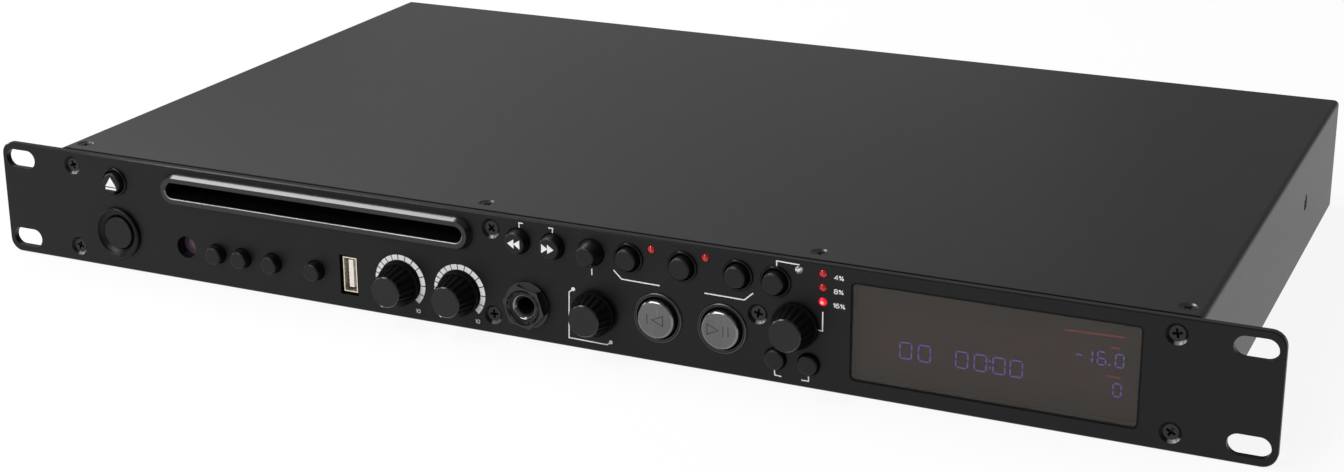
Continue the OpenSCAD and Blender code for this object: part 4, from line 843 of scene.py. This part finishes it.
TRIANGLE = [(-0.5, 0), (0.5, 0), (0, 1)]
EJECT_W, EJECT_H = 4.9, 3.7
EJECT_BAR_H, EJECT_BAR_GAP = 0.8, 0.4
SEEK_W, SEEK_H = 2.45, 3.3
SEEK_OVERLAP = 0.15
PLAY_W, PLAY_H = 4.0, 3.6
PLAY_LEFT = -4.4
PLAY_BARS = (1.4, 3.2)
CUE_LEFT = -2.9
ENGRAVE_W = 0.3


def cap_place(node):
    return on_front(node, low(node).y)


def add_cap_sign(node, outlines):
    sign = Solid()
    for outline in outlines:
        sign.prism(cap_place(node), outline, -INK_SUNK, INK_PROUD)
    sign.finish(f"sign_{node}", "ink", node)


def add_cap_outline(node, outline, bars):
    """An outlined triangle and upright bars, as thin dark lines painted as the shade inside engraved grooves.
    """
    sign = Solid()
    sign.stroke(cap_place(node), outline, ENGRAVE_W, -INK_SUNK, INK_PROUD / 2, closed=True)
    for x in bars:
        ends = [(x, -PLAY_H / 2), (x, PLAY_H / 2)]
        sign.stroke(cap_place(node), ends, ENGRAVE_W, -INK_SUNK, INK_PROUD / 2)
    sign.finish(f"sign_{node}", "engraved_shade", node)


def bar(left, right, bottom, top):
    return [(left, bottom), (right, bottom), (right, top), (left, top)]


def add_signs():
    base = EJECT_BAR_H + EJECT_BAR_GAP - (EJECT_H + EJECT_BAR_H + EJECT_BAR_GAP) / 2
    arrow = [(x * EJECT_W, base + y * EJECT_H) for x, y in TRIANGLE]
    under = base - EJECT_BAR_GAP
    add_cap_sign("eject_button", [arrow, bar(-EJECT_W / 2, EJECT_W / 2, under - EJECT_BAR_H, under)])
    for node, way in (("search_back_button", -1), ("search_forward_button", 1)):
        arrows = []
        for start in (-SEEK_W, -SEEK_OVERLAP):
            arrows.append([(way * (start + y * SEEK_W), x * SEEK_H) for x, y in TRIANGLE])
        add_cap_sign(node, arrows)
    play = [(PLAY_LEFT + y * PLAY_W, x * PLAY_H) for x, y in TRIANGLE]
    add_cap_outline("play_button", play, PLAY_BARS)
    cue = [(-CUE_LEFT - y * PLAY_W, x * PLAY_H) for x, y in TRIANGLE]
    add_cap_outline("cue_button", cue, [CUE_LEFT])


# Countersunk cross-recess screws in place of the plain ones

SCREW_HEAD_R = 2.73
SCREW_SHANK_R = 1.48
SCREW_EDGE = 0.22
CROSS_L, CROSS_W = 1.6, 0.42
CROSS_DEPTH = 1.9
CROSS_TAPER = 0.6
THREAD_PITCH = 0.5
THREAD_DEPTH = 0.2
THREAD_START = 0.3
TIP_INSET = 0.4
SCREW_SPIN = 37
TINY = 1e-6


def cross_radius(angle):
    """Radius of a plus-shaped recess at an angle."""
    turn = (angle + math.pi / 4) % (math.pi / 2) - math.pi / 4
    side = abs(math.sin(turn))
    return min(CROSS_L / math.cos(turn), CROSS_W / side if side > TINY else CROSS_L)


def screw_angles():
    corner = math.atan2(CROSS_W, CROSS_L)
    quarter = math.pi / 2
    first = [0, corner, quarter * 0.25, quarter * 0.375, quarter / 2]
    around = first + [quarter - a for a in reversed(first[1:-1])]
    return [a + quarter * i for i in range(4) for a in around]


def add_screw(solid, place, length):
    angles = screw_angles()
    neck = -(SCREW_HEAD_R - SCREW_SHANK_R)
    rings = [[polar(SCREW_SHANK_R - TIP_INSET, a, -length) for a in angles]]
    turns = int((length + neck) / THREAD_PITCH)
    for i in range(turns):
        z = -length + THREAD_START + i * THREAD_PITCH
        rings.append([polar(SCREW_SHANK_R - THREAD_DEPTH, a, z) for a in angles])
        rings.append([polar(SCREW_SHANK_R, a, z + THREAD_PITCH / 2) for a in angles])
    rings.append([polar(SCREW_SHANK_R, a, neck) for a in angles])
    rings.append([polar(SCREW_HEAD_R, a, -SCREW_EDGE) for a in angles])
    rings.append([polar(SCREW_HEAD_R - SCREW_EDGE, a, 0) for a in angles])
    rings.append([polar(cross_radius(a), a, 0) for a in angles])
    rings.append([polar(cross_radius(a) * CROSS_TAPER, a, -CROSS_DEPTH) for a in angles])
    solid.loft(place, rings)


def add_screws():
    """Each plain screw's box tells which way it points and how long it is."""
    screws = Solid()
    for i, box in enumerate(solids_of("case_screws")):
        start, end = box
        at, reach = (start + end) / 2, (end - start) / MM
        spin = Matrix.Rotation(math.radians(SCREW_SPIN * i), 4, "Z")
        if faces_front(box):
            place, length = facing(FRONT, (at.x, start.y, at.z)), reach.y
        elif faces_up(box):
            place, length = facing(TOP, (at.x, at.y, end.z)), reach.z
        elif at.x > 0:
            place, length = facing(RIGHT, (end.x, at.y, at.z)), reach.x
        else:
            place, length = facing(LEFT, (start.x, at.y, at.z)), reach.x
        add_screw(screws, place @ spin, length)
    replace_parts(screws.finish("cross_recess_screws", "screw"), "case_screws")


# Rounded lower lip of the disc slot

BEZEL_BORDER = 3.2
LIP_R = 0.3
LIP_STEPS = 12
LIP_ARC_STEPS = 10


def add_slot_lip():
    """A thin round bar along the slot's lower edge, bent up at both ends; its bright metal finish is a
    painted highlight.
    """
    reach = (high("slot_bezel") - low("slot_bezel")) / MM
    width, height = reach.x - 2 * BEZEL_BORDER, reach.z - 2 * BEZEL_BORDER
    centre_x = (width - height) / 2
    bend = height / 2 + LIP_R
    turns = [2 * math.pi * i / LIP_STEPS for i in range(LIP_STEPS)]
    rings = []
    for way, start in ((-1, math.pi), (1, 1.5 * math.pi)):
        for k in range(LIP_ARC_STEPS + 1):
            angle = start + math.pi / 2 * k / LIP_ARC_STEPS
            out = Vector(polar(1, angle, 0))
            centre = Vector((way * centre_x, 0, -LIP_R)) + out * bend
            rings.append([centre + LIP_R * (out * math.cos(t) + Vector((0, 0, math.sin(t)))) for t in turns])
    lip = Solid()
    lip.loft(on_front("slot_bezel", low("slot_bezel").y), rings)
    lip.finish("slot_lip", "lip")


# Lined mouth of the microphone jack

JACK_MOUTH_R, JACK_BORE_R = 4.7, 3.3
JACK_LINER_DEPTH = 1.55
JACK_LINER_PROFILE = [
    (JACK_MOUTH_R, -JACK_LINER_DEPTH),
    (JACK_MOUTH_R, -0.35),
    (JACK_MOUTH_R - 0.25, -0.1),
    (JACK_MOUTH_R - 0.5, -0.2),
    (JACK_BORE_R + 0.35, -1.0),
    (JACK_BORE_R + 0.1, -JACK_LINER_DEPTH),
]


def add_jack_lining():
    liner = Solid()
    liner.turned(on_front("mic_jack", low("mic_jack").y), JACK_LINER_PROFILE, closed=True)
    liner.finish("jack_liner", "sleeve")


# Contacts on the tongue of the memory stick port

STICK_CONTACTS = 4
STICK_CONTACT_W, STICK_CONTACT_T, STICK_CONTACT_L = 1.1, 0.16, 8.0
STICK_PITCH = 2.25
STICK_CONTACT_BACK = TONGUE_BACK + 1.1
STICK_CONTACT_SUNK = 0.02


def add_stick_contacts():
    place = on_front("stick_port", low("stick_port").y)
    strips = Solid()
    left, right = TONGUE_RIGHT - STICK_CONTACT_SUNK, TONGUE_RIGHT + STICK_CONTACT_T
    half = STICK_CONTACT_W / 2
    for i in range(STICK_CONTACTS):
        z = (i - (STICK_CONTACTS - 1) / 2) * STICK_PITCH
        strip = bar(left, right, z - half, z + half)
        strips.prism(place, strip, -STICK_CONTACT_BACK - STICK_CONTACT_L, -STICK_CONTACT_BACK)
    strips.finish("stick_contacts", "contact")


# Display: a black ring of painted shade in the gap round the window, glowing digits and red marks on the tube
# behind it

DISPLAY_LIP = 1.6
DISPLAY_GAP = 0.8
DISPLAY_CORNER_R = 2.0
GAP_SHADE_SUNK = 0.35
GAP_SHADE_CLEAR = 0.02
CORNER_STEPS = 6
GLOW_PROUD, GLOW_SUNK = 0.05, 0.02
BIG_CELL = (3.9, 5.5)
BIG_TEXT = ((-31.4, "0"), (-25.1, "0"), (-12.7, "0"), (-6.6, "0"), (-0.5, "0"), (5.1, "0"))
BIG_Z = -7.9
BIG_COLON_X = -1.6
COLON_SHARES = (0.3, 0.7)
GLOW_DOT_HALF = 0.3
SMALL_CELL = (2.5, 4.3)
SMALL_TEXT = ((25.3, 0.9, "-"), (28.3, 0.9, "1"), (32.5, 0.9, "6"), (38.1, 0.9, "0"), (37.8, -8.9, "0"))
SMALL_DOT = (36.3, 1.3)
RED_LINES = [
    [(21.8, 10.6), (40.6, 11.0)],
    [(36.6, 7.1), (39.2, 7.1)],
    [(35.6, -2.5), (39.8, -2.5)],
]
SEGMENT_ENDS = {
    "a": ((0, 1), (1, 1)), "b": ((1, 1), (1, 0.5)), "c": ((1, 0.5), (1, 0)), "d": ((0, 0), (1, 0)),
    "e": ((0, 0), (0, 0.5)), "f": ((0, 0.5), (0, 1)), "g": ((0, 0.5), (1, 0.5)),
}
SEGMENTS = {"0": "abcdef", "1": "bc", "6": "acdefg", "-": "g"}
SEGMENT_W = 0.42
SEGMENT_GAP = 0.16
MARK_W = 0.6


def rounded_ring(width, height, radius, z):
    corners = ((1, 1), (-1, 1), (-1, -1), (1, -1))
    points = []
    for i, (sx, sy) in enumerate(corners):
        centre = Vector((sx * (width / 2 - radius), sy * (height / 2 - radius)))
        for k in range(CORNER_STEPS):
            angle = math.pi / 2 * (i + k / (CORNER_STEPS - 1))
            points.append((*(centre + Vector(polar(radius, angle))), z))
    return points


# A black ring that fills the gap round the window, as painted shade of the gap
def add_gap_shade_ring():
    reach = (high("display_window") - low("display_window")) / MM
    width, height = reach.x - 2 * DISPLAY_LIP, reach.z - 2 * DISPLAY_LIP
    hole = (width - 2 * GAP_SHADE_CLEAR, height - 2 * GAP_SHADE_CLEAR, DISPLAY_CORNER_R - GAP_SHADE_CLEAR)
    inset = 2 * (DISPLAY_GAP - GAP_SHADE_CLEAR)
    pane = (width - inset, height - inset, DISPLAY_CORNER_R - DISPLAY_GAP + GAP_SHADE_CLEAR)
    depth = -PANEL_Y / MM - GAP_SHADE_CLEAR
    rings = [rounded_ring(*shape, z) for shape, z in
             ((hole, -depth), (hole, -GAP_SHADE_SUNK), (pane, -GAP_SHADE_SUNK), (pane, -depth))]
    gap_shade = Solid()
    gap_shade.loft(on_front("display_window"), rings, closed=True)
    gap_shade.finish("display_gap_shade", "gap_shade")


def add_digit(solid, place, text, cell, line):
    width, height = cell
    for name in SEGMENTS[text]:
        ends = [Vector((x * width, y * height)) for x, y in SEGMENT_ENDS[name]]
        way = (ends[1] - ends[0]).normalized() * (line / 2 + SEGMENT_GAP)
        solid.stroke(place, [ends[0] + way, ends[1] - way], line, -GLOW_SUNK, GLOW_PROUD)


def add_glow_dot(solid, place, x, z):
    half = GLOW_DOT_HALF
    solid.prism(place, bar(x - half, x + half, z - half, z + half), -GLOW_SUNK, GLOW_PROUD)


def add_display_glow():
    place = on_front("display_window", low("display_module").y)
    glow = Solid()
    for x, text in BIG_TEXT:
        add_digit(glow, place @ Matrix.Translation((x, BIG_Z, 0)), text, BIG_CELL, SEGMENT_W)
    for share in COLON_SHARES:
        add_glow_dot(glow, place, BIG_COLON_X, BIG_Z + share * BIG_CELL[1])
    for x, z, text in SMALL_TEXT:
        add_digit(glow, place @ Matrix.Translation((x, z, 0)), text, SMALL_CELL, SEGMENT_W)
    add_glow_dot(glow, place, *SMALL_DOT)
    glow.finish("display_digits", "segments")
    marks = Solid()
    for path in RED_LINES:
        marks.stroke(place, path, MARK_W, -GLOW_SUNK, GLOW_PROUD)
    marks.finish("display_marks", "marks")


# Floor, surroundings and lamps

FLOOR_WHITE = 0.88
FLOOR_GLOW = 0.9
FLOOR_HALF = 12.0
FLOOR_GAP = 0.2 * MM
WORLD_GREY = 0.23


def floor_material():
    g = Graph("pale_floor")
    g.join(g.blend(g.noise(3, 2), (FLOOR_WHITE,) * 3, shade((FLOOR_WHITE,) * 3, 1.02)),
           g.shader.inputs["Base Color"])
    g.set(Roughness=0.9)
    path = g.add("ShaderNodeLightPath")
    seen = path.outputs["Is Camera Ray"]
    for name in ("Is Glossy Ray", "Is Transmission Ray"):
        seen = g.math("MAXIMUM", seen, path.outputs[name])
    glow = g.add("ShaderNodeEmission")
    mix = g.add("ShaderNodeMixShader")
    g.join(g.math("MULTIPLY", seen, FLOOR_GLOW), mix.inputs["Fac"])
    g.join(g.shader.outputs[0], mix.inputs[1])
    g.join(glow.outputs[0], mix.inputs[2])
    g.join(mix.outputs[0], g.tree.nodes["Material Output"].inputs["Surface"])
    return g.material


def add_stage():
    mesh = bpy.data.meshes.new("floor")
    corners = bar(-FLOOR_HALF, FLOOR_HALF, -FLOOR_HALF, FLOOR_HALF)
    mesh.from_pydata([(x, y, FLOOR_Z - FLOOR_GAP) for x, y in corners], [], [(0, 1, 2, 3)])
    floor = bpy.data.objects.new("floor", mesh)
    floor.data.materials.append(floor_material())
    bpy.context.collection.objects.link(floor)
    world = bpy.data.worlds.new("studio")
    world.use_nodes = True
    background = world.node_tree.nodes["Background"]
    background.inputs["Color"].default_value = (1, 1, 1, 1)
    background.inputs["Strength"].default_value = WORLD_GREY
    bpy.context.scene.world = world


def add_lamp(name, at, aim, width, height, power):
    data = bpy.data.lights.new(name, "AREA")
    data.shape = "RECTANGLE"
    data.size = width
    data.size_y = height
    data.energy = power
    lamp = bpy.data.objects.new(name, data)
    lamp.location = at
    lamp.rotation_euler = (Vector(aim) - Vector(at)).to_track_quat("-Z", "Y").to_euler()
    bpy.context.collection.objects.link(lamp)


def add_lamps():
    add_lamp("key_softbox", (-1.03, 0.62, 1.35), (-0.1, 0, 0), 0.9, 0.63, 15)
    add_lamp("back_softbox", (-0.6, 1.5, 0.3), (0.1, 0.2, 0), 0.8, 0.2, 0.25)
    add_lamp("front_fill", (-0.9, -1.7, 1.2), (0, 0, 0), 1.2, 0.8, 27)
    add_lamp("top_strip", (-0.84, -0.15, 1.20), (0, 0, 0), 0.5, 0.5, 7)
    add_lamp("side_strip", (-1.5, 0.0, 0.45), (0, 0, 0), 0.5, 0.5, 6)


dress_nodes()
add_control_lines()
add_dial_scales()
add_lamp_numbers()
add_signs()
add_screws()
add_slot_lip()
add_jack_lining()
add_stick_contacts()
add_gap_shade_ring()
add_display_glow()
add_camera()
add_stage()
add_lamps()
bpy.context.scene.view_settings.view_transform = "Standard"
